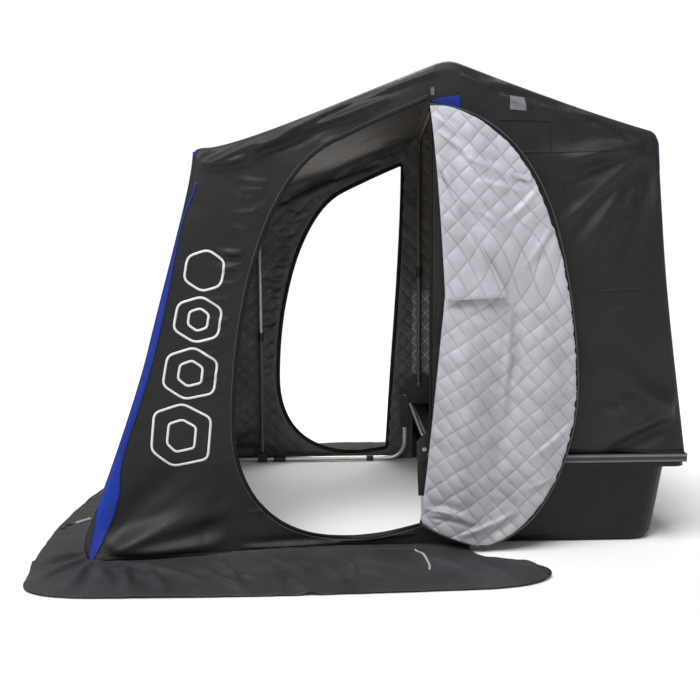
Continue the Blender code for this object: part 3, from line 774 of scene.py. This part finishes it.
# ---- roof, front wall and rear wall -------------------------------------------------
def corner_folds(height, width, seed):
    """Pull lines across a sheet, fanning out of its four corners."""
    out = []
    for k in range(22):
        end, hand = (k // 2) % 2, 1 if k % 2 else -1
        turn = 0.25 + 1.05 * hashed(k, 1, seed)
        long = 0.22 + 0.42 * hashed(k, 2, seed)
        start = (0.03 if end else 1.2 - 0.03, hand * 0.76)
        ahead = (math.cos(turn) * (1 if end else -1), -hand * math.sin(turn))
        finish = (start[0] + long * ahead[0], start[1] + long * ahead[1])
        out.append((start, finish, height * (0.5 + 0.8 * hashed(k, 3, seed)),
                    width * (0.6 + 0.8 * hashed(k, 4, seed))))
    return out


def across_sheet(name, body, node, line, half, out, sag, lining, seed, folds, spread=False, tuck=0.0):
    """Cloth across the shelter that follows a line of the side view."""
    line = resample(line, 110)
    ahead = np.gradient(line, axis=0)
    ahead /= np.linalg.norm(ahead, axis=1, keepdims=True)
    normal = np.stack([ahead[:, 1], -ahead[:, 0]], axis=1)
    if normal.mean(0) @ np.array([out[0], out[2]]) < 0:
        normal = -normal
    s = np.linspace(0, 1, len(line))[:, None]
    if spread:
        half = half + flare(line[:, 0], line[:, 1])[:, None]
    half = half - lean_in((roof_z(line[:, 0]) - line[:, 1])[:, None])
    y = np.linspace(-1, 1, 150)[None] * half
    depth = -sag * np.sin(np.pi * s) * np.cos(np.pi * y / (2 * half))
    rough = 0.004 * noise(s * 1.2, y, 0.21, seed)
    rough = rough + 0.002 * noise(s * 1.2 + y, y - s, 0.09, seed + 1)
    free = step(half - np.abs(y), 0.0, 0.08) * step(s, 0.0, 0.06) * step(1 - s, 0.0, 0.06)
    for a, b, height, width in folds:
        rough = rough + fold(s * 1.2, y, a, b, height, width, 0.02, 0.3)
    h = depth + rough * free - tuck * step(np.abs(y), half - 0.03, half)
    grid = np.stack([line[:, 0][:, None] + normal[:, 0][:, None] * h + APEX_X, y,
                     line[:, 1][:, None] + normal[:, 1][:, None] * h], axis=-1)
    uv = np.stack([y, lengths_along(line)[:, None] + 0 * y], axis=-1)
    obj = cloth(name, grid, uv, out, padded(uv), [BLACK, lining, BINDING])
    hang(obj, body, node, uv, "stretched")


roof_half = WIDE - SHOULDER + 0.004
wall_half = WIDE - CORNER + 0.003
roof_left = np.concatenate([roof_front, [(SPLIT_X, split_top)]])
roof_right = np.concatenate([[(split_edge, split_top - 0.001)], roof_rear])
across_sheet("canvas_roof_front", "base_bow", "roof_front", roof_left, roof_half, (0, 0, 1), 0.030, CEILING,
             21, corner_folds(0.010, 0.030, 5), tuck=0.003)
across_sheet("canvas_roof_rear", "sled", "roof_rear", roof_right, roof_half, (0, 0, 1), 0.024, CEILING,
             24, corner_folds(0.010, 0.030, 6), tuck=0.003)
across_sheet("canvas_front", "base_bow", "front_wall", front_curve, wall_half, (-1, 0, 0), 0.020, LINING,
             27, corner_folds(0.013, 0.024, 7), spread=True)
across_sheet("canvas_rear", "sled", "rear_wall", rear_curve, wall_half, (1, 0, 0), 0.030, SLED_END,
             31, corner_folds(0.013, 0.024, 8))

# ---- skirt --------------------------------------------------------------------------
SKIRT_FRONT = -1.69  # furthest forward point of the skirt
SKIRT_CORNER = (-1.53, 1.165)
SKIRT_EDGE = [
    (0.355, 1.15), (0.34, 1.21), (0.28, 1.26), (0.10, 1.275),
    (-0.40, 1.295), (-0.80, 1.30), (-1.25, 1.28),
    (-1.40, 1.272), (-1.50, 1.235), SKIRT_CORNER,
]
TONGUE = [
    (0.09, HEM_Y), (0.09, 0.93), (0.13, 0.975), (0.22, 1.00),
    (0.33, 1.03), (0.39, 1.08), (0.355, 1.15),
]
GATHERS = [  # folds gathered at a front corner: start, end, height, width
    ((-1.39, 0.85), (-1.53, 1.18), 0.022, 0.030),
    ((-1.38, 0.86), (-1.36, 1.25), 0.014, 0.024),
    ((-1.38, 0.86), (-1.20, 1.22), 0.012, 0.028),
    ((-1.40, 0.82), (-1.60, 0.98), 0.016, 0.030),
]


def skirt_z(x, y):
    """Height of the cloth that lies on the ground."""
    out = np.maximum(np.abs(y) - WIDE, FOOT_X - x)
    z = 0.0035 + 0.009 * (0.5 + 0.5 * noise(x * 0.55 + 0.2 * y, y, 0.12, 41)) + 0.0015 * noise(x, y, 0.04, 43)
    z = z + 0.014 * np.exp(-((out / 0.035) ** 2))
    for k in range(44):  # folds beside the side walls
        hand = -1 if k % 2 else 1
        start = (-1.45 + 1.8 * hashed(k, 3, 51), hand * (0.88 + 0.16 * hashed(k, 4, 51)))
        end = away(start, hand * (0.35 + 1.1 * hashed(k, 8, 51)), 0.18 + 0.25 * hashed(k, 6, 51))
        z = z + np.maximum(fold(x, y, start, end, 0.013, 0.024, 0.01, 0.3), -0.003)
    for k in range(10):  # folds in front of the front wall
        cy = -0.85 + 1.7 * hashed(k, 3, 61)
        end = (-1.66, cy * 1.25 + 0.1 * (hashed(k, 5, 61) - 0.5))
        z = z + np.maximum(fold(x, y, (-1.40, cy), end, 0.012, 0.022, 0.01, 0.3), -0.002)
    for hand in (-1, 1):
        for (x0, y0), (x1, y1), height, width in GATHERS:
            z = z + fold(x, y, (x0, hand * y0), (x1, hand * y1), height, width, 0.0, 0.5)
    return np.maximum(z, 0.0045)


def skirt_surface(x, y, lift):
    return np.stack([x + APEX_X, y + np.zeros_like(x), skirt_z(x, y) + lift], axis=-1)


def lay(name, node, shape):
    """A piece of skirt on the ground."""
    grid = skirt_surface(shape[..., 0], shape[..., 1], 0.0)
    obj = cloth(name, grid, shape, (0, 0, 1), 0.003, [SKIRT, SKIRT, BINDING])
    hang(obj, "base_bow", node, shape, "laid", flat_down=False)


for side, sign in SIDES.items():
    inner = resample([(0.090, HEM_Y), (FOOT_X, HEM_Y)], 200)
    outer = resample(curve(SKIRT_EDGE), 200)
    end = resample(curve(TONGUE), 44)
    seam = resample([(FOOT_X, HEM_Y), SKIRT_CORNER], 44)
    lay(f"skirt_cloth_{side}", f"skirt_{side}", patch(end, seam, inner, outer) * np.array([1, sign]))
corner_x, corner_y = SKIRT_CORNER
front_foot = FOOT_X - 0.0005
front_outer = [(SKIRT_FRONT + (corner_x - SKIRT_FRONT) * t * t, corner_y * t) for t in np.linspace(-1, 1, 60)]
ends = [resample([(front_foot, s * HEM_Y), (corner_x, s * corner_y)], 44) for s in (-1, 1)]
inner = resample([(front_foot, -HEM_Y), (front_foot, HEM_Y)], 150)
lay("skirt_cloth_front", "skirt_front", patch(ends[0], ends[1], inner, resample(front_outer, 150)))

# ---- doors: the quilted flap, folded back over the side wall ------------------------
FLAP_FOOT = [(0.14, 0.004), (0.06, 0.015), (-0.05, 0.06), (-0.108, 0.105)]
FLAP_SEWN = [
    (-0.108, 0.105), (-0.08, 0.25), (-0.03, 0.80), (-0.008, 1.02),
    (-0.02, 1.25), (-0.04, 1.55), (-0.07, 1.76),
]
FLAP_OUTER = [
    (-0.07, 1.76), (0.10, 1.76), (0.29, 1.66), (0.40, 1.40),
    (0.47, 1.25), (0.533, 0.88), (0.533, 0.65),
    (0.533, 0.42), (0.43, 0.16), (0.30, 0.07),
    (0.25, 0.03), (0.20, 0.01), (0.141, 0.004),
]
flap_left = np.concatenate([curve(FLAP_FOOT), curve(FLAP_SEWN)[1:]])
flap_right = curve(FLAP_OUTER)[::-1]
FLAP_FOLDS = [  # start, end, height, width
    ((-0.06, 1.72), (0.06, 1.62), 0.01, 0.012),
    ((-0.055, 1.66), (0.12, 1.54), 0.012, 0.016),
    ((-0.045, 1.56), (0.055, 1.36), 0.012, 0.018),
    ((0.06, 1.56), (0.25, 1.48), 0.012, 0.016),
    ((0.1, 1.47), (0.3, 1.42), 0.008, 0.014),
    ((-0.02, 1.45), (0.22, 0.98), 0.01, 0.022),
    ((0.36, 1.44), (0.22, 1.3), 0.01, 0.014),
    ((0.42, 1.3), (0.3, 1.12), 0.009, 0.016),
    ((0.12, 1.36), (0.25, 1.25), 0.01, 0.014),
    ((0.255, 1.02), (0.215, 0.42), 0.012, 0.02),
    ((0.3, 0.9), (0.24, 0.62), -0.008, 0.014),
    ((0.5, 0.5), (0.34, 0.36), 0.01, 0.016),
    ((0.455, 0.3), (0.33, 0.24), 0.008, 0.012),
    ((-0.095, 0.165), (0.08, 0.125), 0.016, 0.014),
    ((-0.075, 0.13), (0.13, 0.08), -0.01, 0.01),
    ((0.3, 0.16), (0.12, 0.06), 0.012, 0.016),
    ((0.2, 0.11), (0.06, 0.05), 0.01, 0.012),
]


def bound(line, z):
    """Where an upward line is, across the wall, at a height."""
    return np.interp(z, line[:, 1], line[:, 0])


def hump(t, middle, width):
    """A smooth bump of height 1."""
    return np.exp(-(((t - middle) / width) ** 2))


def flap_depth(x, z):
    """How far the flap stands off the wall towards a person outside."""
    lower = step(1.10 - z, 0.0, 0.45) * (0.35 + 0.65 * step(z, 0.0, 0.30))
    base = 0.016 + 0.020 * step(x, -0.08, 0.25)
    lean = 0.10 * (z - 0.6)
    roll = 0.052 * lower * hump(x, 0.06 + lean * 0.3, 0.105)
    roll = roll - 0.010 * lower * hump(x, 0.235 + lean, 0.030)
    roll = roll + 0.030 * lower * hump(x, 0.37 + lean * 0.5, 0.085)
    upper = step(z, 0.95, 1.25)
    roll = roll + 0.020 * upper * hump(x, 0.10 + 0.25 * (1.6 - z), 0.07)
    hem = 0.018 * step(0.22 - z, 0.0, 0.2)
    folds = np.zeros_like(x + z)
    for start, end, height, width in FLAP_FOLDS:
        folds = folds + fold(x, z, start, end, height, width, 0.006, 0.3)
    folds = folds + 0.004 * noise(x * 1.4, z, 0.10, 71) + 0.002 * noise(x, z, 0.045, 72)
    return base + roll + hem + folds * step(x, -0.11, -0.03)


def flap_place(x, z, lift):
    """A point of the near flap. Seen by the camera, it covers the point x, z of the wall's plane."""
    depth = flap_depth(x, z) + lift
    near = 1 + depth / (EYE[1] + WIDE)
    return np.stack([EYE[0] + (x - EYE[0]) * near + APEX_X, -WIDE - depth,
                     EYE[2] + (z - EYE[2]) * near], axis=-1)


def flat_coords(x, z):
    """Distances along the cloth from its sewn edge, and upwards."""
    fine = np.linspace(-0.14, 0.58, 361)
    rows = np.linspace(0.0, 1.78, 120)
    gx, gz = np.meshgrid(fine, rows, indexing="ij")
    p = flap_place(gx, gz, 0.0)
    steps = np.linalg.norm(np.diff(p, axis=0), axis=2)
    run = np.concatenate([np.zeros((1, len(rows))), np.cumsum(steps, axis=0)])
    i = np.clip((x - fine[0]) / (fine[1] - fine[0]), 0, len(fine) - 1.001)
    j = np.clip(z / (rows[1] - rows[0]), 0, len(rows) - 1.001)
    i0, j0 = i.astype(int), j.astype(int)
    fi, fj = i - i0, j - j0
    here = run[i0, j0] * (1 - fi) + run[i0 + 1, j0] * fi
    above = run[i0, j0 + 1] * (1 - fi) + run[i0 + 1, j0 + 1] * fi
    # the cloth hangs a little skewed near its rolled edge, and nowhere quite straight
    skew = np.concatenate([[0], np.cumsum(0.09 + 0.30 * step(0.36 - fine[1:], 0.0, 0.32))])
    skew = skew * (fine[1] - fine[0])
    low = step(1.30 - z, 0.0, 0.35)
    u = here * (1 - fj) + above * fj - 0.14 + 0.005 * noise(x, z, 0.17, 75) + 0.002 * noise(x, z, 0.06, 77)
    v = z + low * np.interp(x, fine, skew) + 0.006 * noise(x, z, 0.17, 76) + 0.002 * noise(x, z, 0.06, 78)
    return u, v


def along_rows(low, high, count):
    """Heights of a flap's rows, closer together towards both ends."""
    t = np.linspace(0, 1, count)
    return low + (high - low) * (0.5 - 0.5 * np.cos(np.pi * t)) * 0.55 + (high - low) * t * 0.45


def mirrored(place, sign):
    """The near side's surface, for the side with the given sign."""
    def surface(x, z, lift):
        p = place(x, z, lift)
        p[..., 1] *= -sign
        return p
    return surface


def inset(z):
    """Width of the zip's tape that shows outside the quilting."""
    return 0.011 + 0.015 * step(z, 1.05, 1.40) + 0.004 * step(0.25 - z, 0.0, 0.1)


def flap_grid():
    """The flap's points in the wall's plane, their flat coordinates, and its cushions' height."""
    rows = along_rows(0.012, 1.752, 430)
    s = np.linspace(0, 1, 150)[:, None]
    ragged = 0.0030 * noise(rows, rows * 0, 0.021, 91) + 0.0016 * noise(rows, rows * 0, 0.009, 92)
    left = bound(flap_left, rows) + inset(rows) * step(0.13 - rows, 0.0, 0.03)
    right = np.maximum(bound(flap_right, rows) - inset(rows) + ragged, left + 0.003)
    x = left[None] * (1 - s) + right[None] * s
    z = rows[None] + 0 * x
    u, v = flat_coords(x, z)
    rim = np.clip((np.minimum(x - left[None], right[None] - x) + 0.003) / 0.014, 0, 1) ** 0.6
    return x, z, np.stack([u, v], axis=-1), cushion(u, v, FLAP_CUSHION) * rim


WINDOW_FOOT = 1.012
WINDOW_EDGE = [(-0.03, 1.50), (0.02, 1.36), (0.20, 1.14), (0.24, 1.02)]


def window_grid():
    """The same for the window's cover."""
    rows = np.linspace(WINDOW_FOOT, 1.500, 150)
    s = np.linspace(0, 1, 90)[:, None]
    left = bound(flap_left, rows) + 0.002
    right = bound(curve(WINDOW_EDGE)[::-1], rows)
    x = left[None] * (1 - s) + np.maximum(right, left + 0.004)[None] * s
    z = rows[None] + 0 * x - 0.012 * (1 - s) * step(1.2 - rows, 0.0, 0.18)[None]
    u, v = flat_coords(x, z)
    rim = np.minimum(np.minimum(x - left[None], right[None] - x), (rows - WINDOW_FOOT)[None]) / 0.012
    return x, z, np.stack([u, v], axis=-1), cushion(u, v, FLAP_CUSHION) * np.clip(rim, 0.12, 1)


def place_window(x, z, lift):
    """A point of the window's cover, which lies over the flap."""
    return flap_place(x, z, lift + 0.013 + 0.016 * step(1.20 - z, 0.0, 0.2))


# the outer edge of the flap, from its top round to its lower sewn corner
left_foot = flap_left[flap_left[:, 1] < 0.15]
edge_line = resample(np.concatenate([flap_right[::-1], left_foot[1:]]), 420)
tape = inset(edge_line[:, 1]) + 0.016
tab = smooth_line([(0.250, 1.493), (0.290, 1.486), (0.330, 1.474)])
flap_x, flap_z, flap_uv, flap_puff = flap_grid()
cover_x, cover_z, cover_uv, cover_puff = window_grid()
for side, sign in SIDES.items():
    surface = mirrored(flap_place, sign)
    name = f"door_flap_{side}"
    flap = surface(flap_x, flap_z, flap_puff)
    obj = cloth(name, flap, flap_uv, (0, sign, 0), 0.006, [SILVER, BLACK, SILVER])
    hang(obj, f"door_{side}", f"door_{side}", flap_uv, "folded")
    sewn(f"door_zip_{side}", name, offset(edge_line, -tape / 2), tape, surface, ZIP,
         -0.0015, 0.0, across=6, base=-0.0045)
    sewn(f"door_coil_{side}", name, offset(edge_line, -0.003), 0.006, surface, COIL,
         -0.0008, 0.0016, base=-0.0016)
    sewn(f"door_tab_{side}", name, tab, 0.022, surface, SILVER, 0.0095, 0.0020, base=0.004)
    cover = mirrored(place_window, sign)(cover_x, cover_z, cover_puff)
    obj = cloth(f"window_cover_{side}", cover, cover_uv, (0, sign, 0), 0.005, [SILVER])
    hang(obj, f"door_{side}", f"window_flap_{side}", cover_uv, "hung")


# ---- what is sewn on the walls -------------------------------------------------------
def blue_strip():
    """The two edges of the strip down the front corner: thin at the top, widest above the foot."""
    z = np.linspace(1.455, 0.004, 90)
    left = np.maximum(front_x(z) + 0.012 + 0.020 * step(z, 1.30, 1.46), -1.388 + 0.10 * np.minimum(z, 0.2))
    wide = 0.006 + 0.020 * step(1.30 - z, 0.0, 0.45) + 0.045 * np.exp(-(((z - 0.20) / 0.12) ** 2))
    wide = wide * np.sqrt(np.clip(z / 0.05, 0, 1))
    return np.stack([left, z], axis=1), np.stack([left + wide, z], axis=1)


VENT = [(0.20, 1.705), (0.405, 1.705), (0.405, 1.585), (0.29, 1.58)]
SEAMS = [
    [(0.29, 1.58), (0.60, 1.585), (0.70, 1.595)],
    [(0.56, 1.035), (0.71, 1.045), (0.86, 1.055)],
]


def rounded(points, radius, steps=5):
    """A closed outline with its corners rounded off."""
    p = np.array(points, float)
    out = []
    for i in range(len(p)):
        before, here, after = p[i - 1], p[i], p[(i + 1) % len(p)]
        a = here + (before - here) / np.linalg.norm(before - here) * radius
        b = here + (after - here) / np.linalg.norm(after - here) * radius
        for t in np.linspace(0, 1, steps):
            out.append(a * (1 - t) ** 2 + 2 * here * t * (1 - t) + b * t * t)
    out = np.array(out)
    count = max(24, int(np.linalg.norm(np.roll(out, -1, 0) - out, axis=1).sum() / 0.006))
    return resample(np.vstack([out, out[:1]]), count + 1)[:-1]


# plain ice-crystal outlines, in place of any lettering, in metres along the panel and across it
CRYSTALS = [
    [(0.0, -0.02), (0.052, -0.108), (0.2, -0.118), (0.252, -0.015), (0.212, 0.102), (0.05, 0.112)],
    [(0.06, -0.014), (0.088, -0.052), (0.166, -0.056), (0.19, -0.006), (0.168, 0.05), (0.086, 0.054)],
    [(0.27, -0.01), (0.312, -0.1), (0.43, -0.096), (0.478, 0.0), (0.436, 0.096), (0.31, 0.098)],
    [(0.322, -0.006), (0.346, -0.046), (0.402, -0.044), (0.426, 0.0), (0.404, 0.044), (0.344, 0.046)],
    [(0.496, 0.0), (0.534, -0.088), (0.636, -0.084), (0.678, 0.004), (0.64, 0.086), (0.532, 0.084)],
    [(0.542, 0.002), (0.562, -0.036), (0.612, -0.036), (0.632, 0.004), (0.612, 0.04), (0.56, 0.038)],
    [(0.696, 0.0), (0.73, -0.074), (0.822, -0.07), (0.86, 0.004), (0.824, 0.072), (0.73, 0.07)],
]
foot, top = np.array([-1.06, 0.35]), np.array([-0.92, 1.24])
up = (top - foot) / np.linalg.norm(top - foot)
across = np.array([up[1], -up[0]])


def sew_front(side):
    """What is sewn on the front half of a side wall."""
    on = f"canvas_side_front_{side}"
    surface = side_surface(side)

    def inside(x, z, lift):
        return surface(x, z, -0.0048 - lift)

    doorway = doorways[side]
    clockwise = 1 if np.cross(doorway[1] - doorway[0], doorway[40] - doorway[0]) > 0 else -1
    round_opening = resample(np.vstack([doorway, doorway[:1]]), 401)[:-1]
    for part, place, wide in (("out", surface, 0.012), ("in", inside, 0.022)):
        line = offset(round_opening, -clockwise * wide / 2, True)
        sewn(f"binding_{part}_{side}", on, line, wide, place, BINDING, 0.0012, 0.0010, True)
    zipped = doorway[:1 - len(far_edge)] if side == "far" else doorway
    line = offset(resample(zipped, 360), -clockwise * 0.0155)
    sewn(f"opening_coil_{side}", on, line, 0.0045, surface, COIL, 0.0010, 0.0012)
    applied(f"blue_tip_{side}", on, None, [(-0.985, 1.55), (-0.98, 1.585)], [(-0.98, 1.55), (-0.96, 1.59)],
            surface, BLUE, 0.0022, 14, 8)
    applied(f"foot_tab_{side}", on, "canopy_black", [(-0.035, 0.003), (0.095, 0.003)],
            [(-0.035, 0.15), (0.085, 0.035)], surface, BLACK, 0.0020, 40, 10)
    applied(f"blue_corner_{side}", on, None, *blue_strip(), surface, BLUE, 0.0022, 150, 8)
    for k, shape in enumerate(CRYSTALS):
        outline = rounded([foot + up * a + across * b for a, b in shape], 0.024 if k % 2 == 0 else 0.012)
        sewn(f"crystal_{k}_{side}", on, outline, 0.0090, surface, WHITE, 0.0011, 0.0003, True, 2)
    hem_line = [(x, 0.012) for x in np.linspace(-1.37, -0.05, 120)]
    sewn(f"ground_seam_{side}", on, hem_line, 0.012, surface, BINDING, 0.0015, 0.0015)


def sew_rear(side):
    """What is sewn on the rear half of a side wall."""
    on = f"canvas_side_rear_{side}"
    surface = side_surface(side)
    applied(f"blue_gusset_{side}", on, None, [(-0.06, 1.77), (-0.05, 1.78)], [(0.055, 1.74), (0.05, 1.795)],
            surface, BLUE, 0.0020, 20, 14)
    applied(f"label_patch_{side}", on, None, [(0.245, 1.745), (0.245, 1.80)], [(0.31, 1.74), (0.305, 1.795)],
            surface, PATCH, 0.0020, 12, 12)
    sewn(f"vent_seam_{side}", on, resample(VENT, 120), 0.007, surface, BLACK, 0.0016, 0.0020)
    for k, points in enumerate(SEAMS):
        line = resample(smooth_line(points), 100)
        sewn(f"seam_{k}_{side}", on, line, 0.007, surface, BLACK, 0.0012, 0.0016)
    piping = [(float(rear_x(z)) - 0.005, z) for z in np.linspace(1.52, 1.635, 50)]
    wide = 0.003 + 0.005 * np.sin(np.pi * np.linspace(0, 1, 50))
    sewn(f"blue_piping_{side}", on, piping, wide, surface, BLUE, 0.0015, 0.0015)
    hem_line = [(x, RIM_Z + 0.010) for x in np.linspace(-0.03, 0.975, 100)]
    sewn(f"rim_seam_{side}", on, hem_line, 0.014, surface, BINDING, 0.0015, 0.0012)


for side in SIDES:
    sew_front(side)
    sew_rear(side)

# a tie sewn on the skirt, and the skirt's stitched seams
TIE = [(-0.128, 0.888), (-0.112, 0.925), (-0.092, 0.985), (-0.084, 1.045), (-0.088, 1.092)]
for side, sign in SIDES.items():
    on = f"skirt_cloth_{side}"
    line = smooth_line(np.array(TIE) * [1, sign], 6)
    sewn(f"skirt_tie_{side}", on, line, 0.009, skirt_surface, WEBBING, 0.0030, 0.0030)
    line = np.array([(x, 0.872) for x in np.linspace(-1.36, 0.07, 120)]) * [1, sign]
    sewn(f"skirt_seam_{side}", on, line, 0.006, skirt_surface, SKIRT, 0.0010, 0.0012)

# loops and eyelets at the front of the skirt
for side, sign in SIDES.items():
    on = "skirt_cloth_front"
    line = np.array([(-1.602, 0.440), (-1.586, 0.404), (-1.568, 0.368)]) * [1, sign]
    sewn(f"skirt_loop_{side}", on, smooth_line(line, 8), 0.018, skirt_surface, WEBBING, 0.0035, 0.0075)
    for k, (cx, cy) in enumerate([(-1.628, 0.455), (-1.630, 0.520)]):
        turns = np.linspace(0, 2 * math.pi, 33)[:-1]
        ring = [(cx + 0.011 * math.cos(t), sign * (cy + 0.011 * math.sin(t))) for t in turns]
        sewn(f"skirt_eyelet_{k}_{side}", on, ring, 0.010, skirt_surface, BINDING, 0.0015, 0.0015, True)

# ---- finishes of the frame and the sled ----------------------------------------------
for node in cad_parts.values():
    for k, old in enumerate(node.data.materials):
        if old and old.name in FINISHES:
            node.data.materials[k] = FINISHES[old.name]

# ---- room, lights and camera --------------------------------------------------------
floor_maker = Maker("floor_white", (0.93, 0.93, 0.93, 1), 0.9)
bpy.ops.mesh.primitive_plane_add(size=60, location=(0, 0, -0.0005))
floor = bpy.context.object
floor.name = "studio_floor"
floor.data.materials.append(floor_maker.m)

world = bpy.data.worlds.new("studio")
bpy.context.scene.world = world
world.use_nodes = True
sky = world.node_tree.nodes["Background"]
sky.inputs["Color"].default_value = (1, 1, 1, 1)
# the backdrop is white, and lights the object more softly than it looks
path = world.node_tree.nodes.new("ShaderNodeLightPath")
level = world.node_tree.nodes.new("ShaderNodeMapRange")
level.inputs["To Min"].default_value = 0.34
level.inputs["To Max"].default_value = 1.02
world.node_tree.links.new(path.outputs["Is Camera Ray"], level.inputs["Value"])
world.node_tree.links.new(level.outputs["Result"], sky.inputs["Strength"])


def lamp(name, kind, place, target, energy, size):
    """A soft light that looks at a target."""
    data = bpy.data.lights.new(name, kind)
    data.energy = energy
    if kind == "SUN":
        data.angle = size
    else:
        data.shape = "SQUARE"
        data.size = size
    obj = bpy.data.objects.new(name, data)
    bpy.context.scene.collection.objects.link(obj)
    obj.location = place
    obj.rotation_mode = "QUATERNION"
    obj.rotation_quaternion = (Vector(target) - Vector(place)).to_track_quat("-Z", "Y")


lamp("key_softbox", "SUN", (-1.5, -1.7, 3.8), (0, 0, 0), 3.0, math.radians(40))
lamp("rear_softbox", "AREA", (0.4, 2.6, 4.6), (0.2, 0.0, 1.4), 120, 2.2)
lamp("cabin_fill", "AREA", (-0.1, -0.64, 0.75), (-0.2, 0.84, 0.55), 4, 0.8)

camera_data = bpy.data.cameras.new("camera")
camera_data.sensor_width = 36
camera_data.lens = 40.48
camera_data.shift_x = -0.0843
camera_data.clip_start = 0.05
camera = bpy.data.objects.new("camera", camera_data)
bpy.context.scene.collection.objects.link(camera)
camera.location = (EYE[0] + APEX_X, EYE[1], EYE[2])
yaw, pitch = 0.057036, -0.083674  # in radians: to the right of +Y, and down
ahead = Vector((math.sin(yaw) * math.cos(pitch), math.cos(yaw) * math.cos(pitch), math.sin(pitch)))
camera.rotation_mode = "QUATERNION"
camera.rotation_quaternion = ahead.to_track_quat("-Z", "Y")
bpy.context.scene.camera = camera
bpy.context.scene.view_settings.view_transform = "Standard"
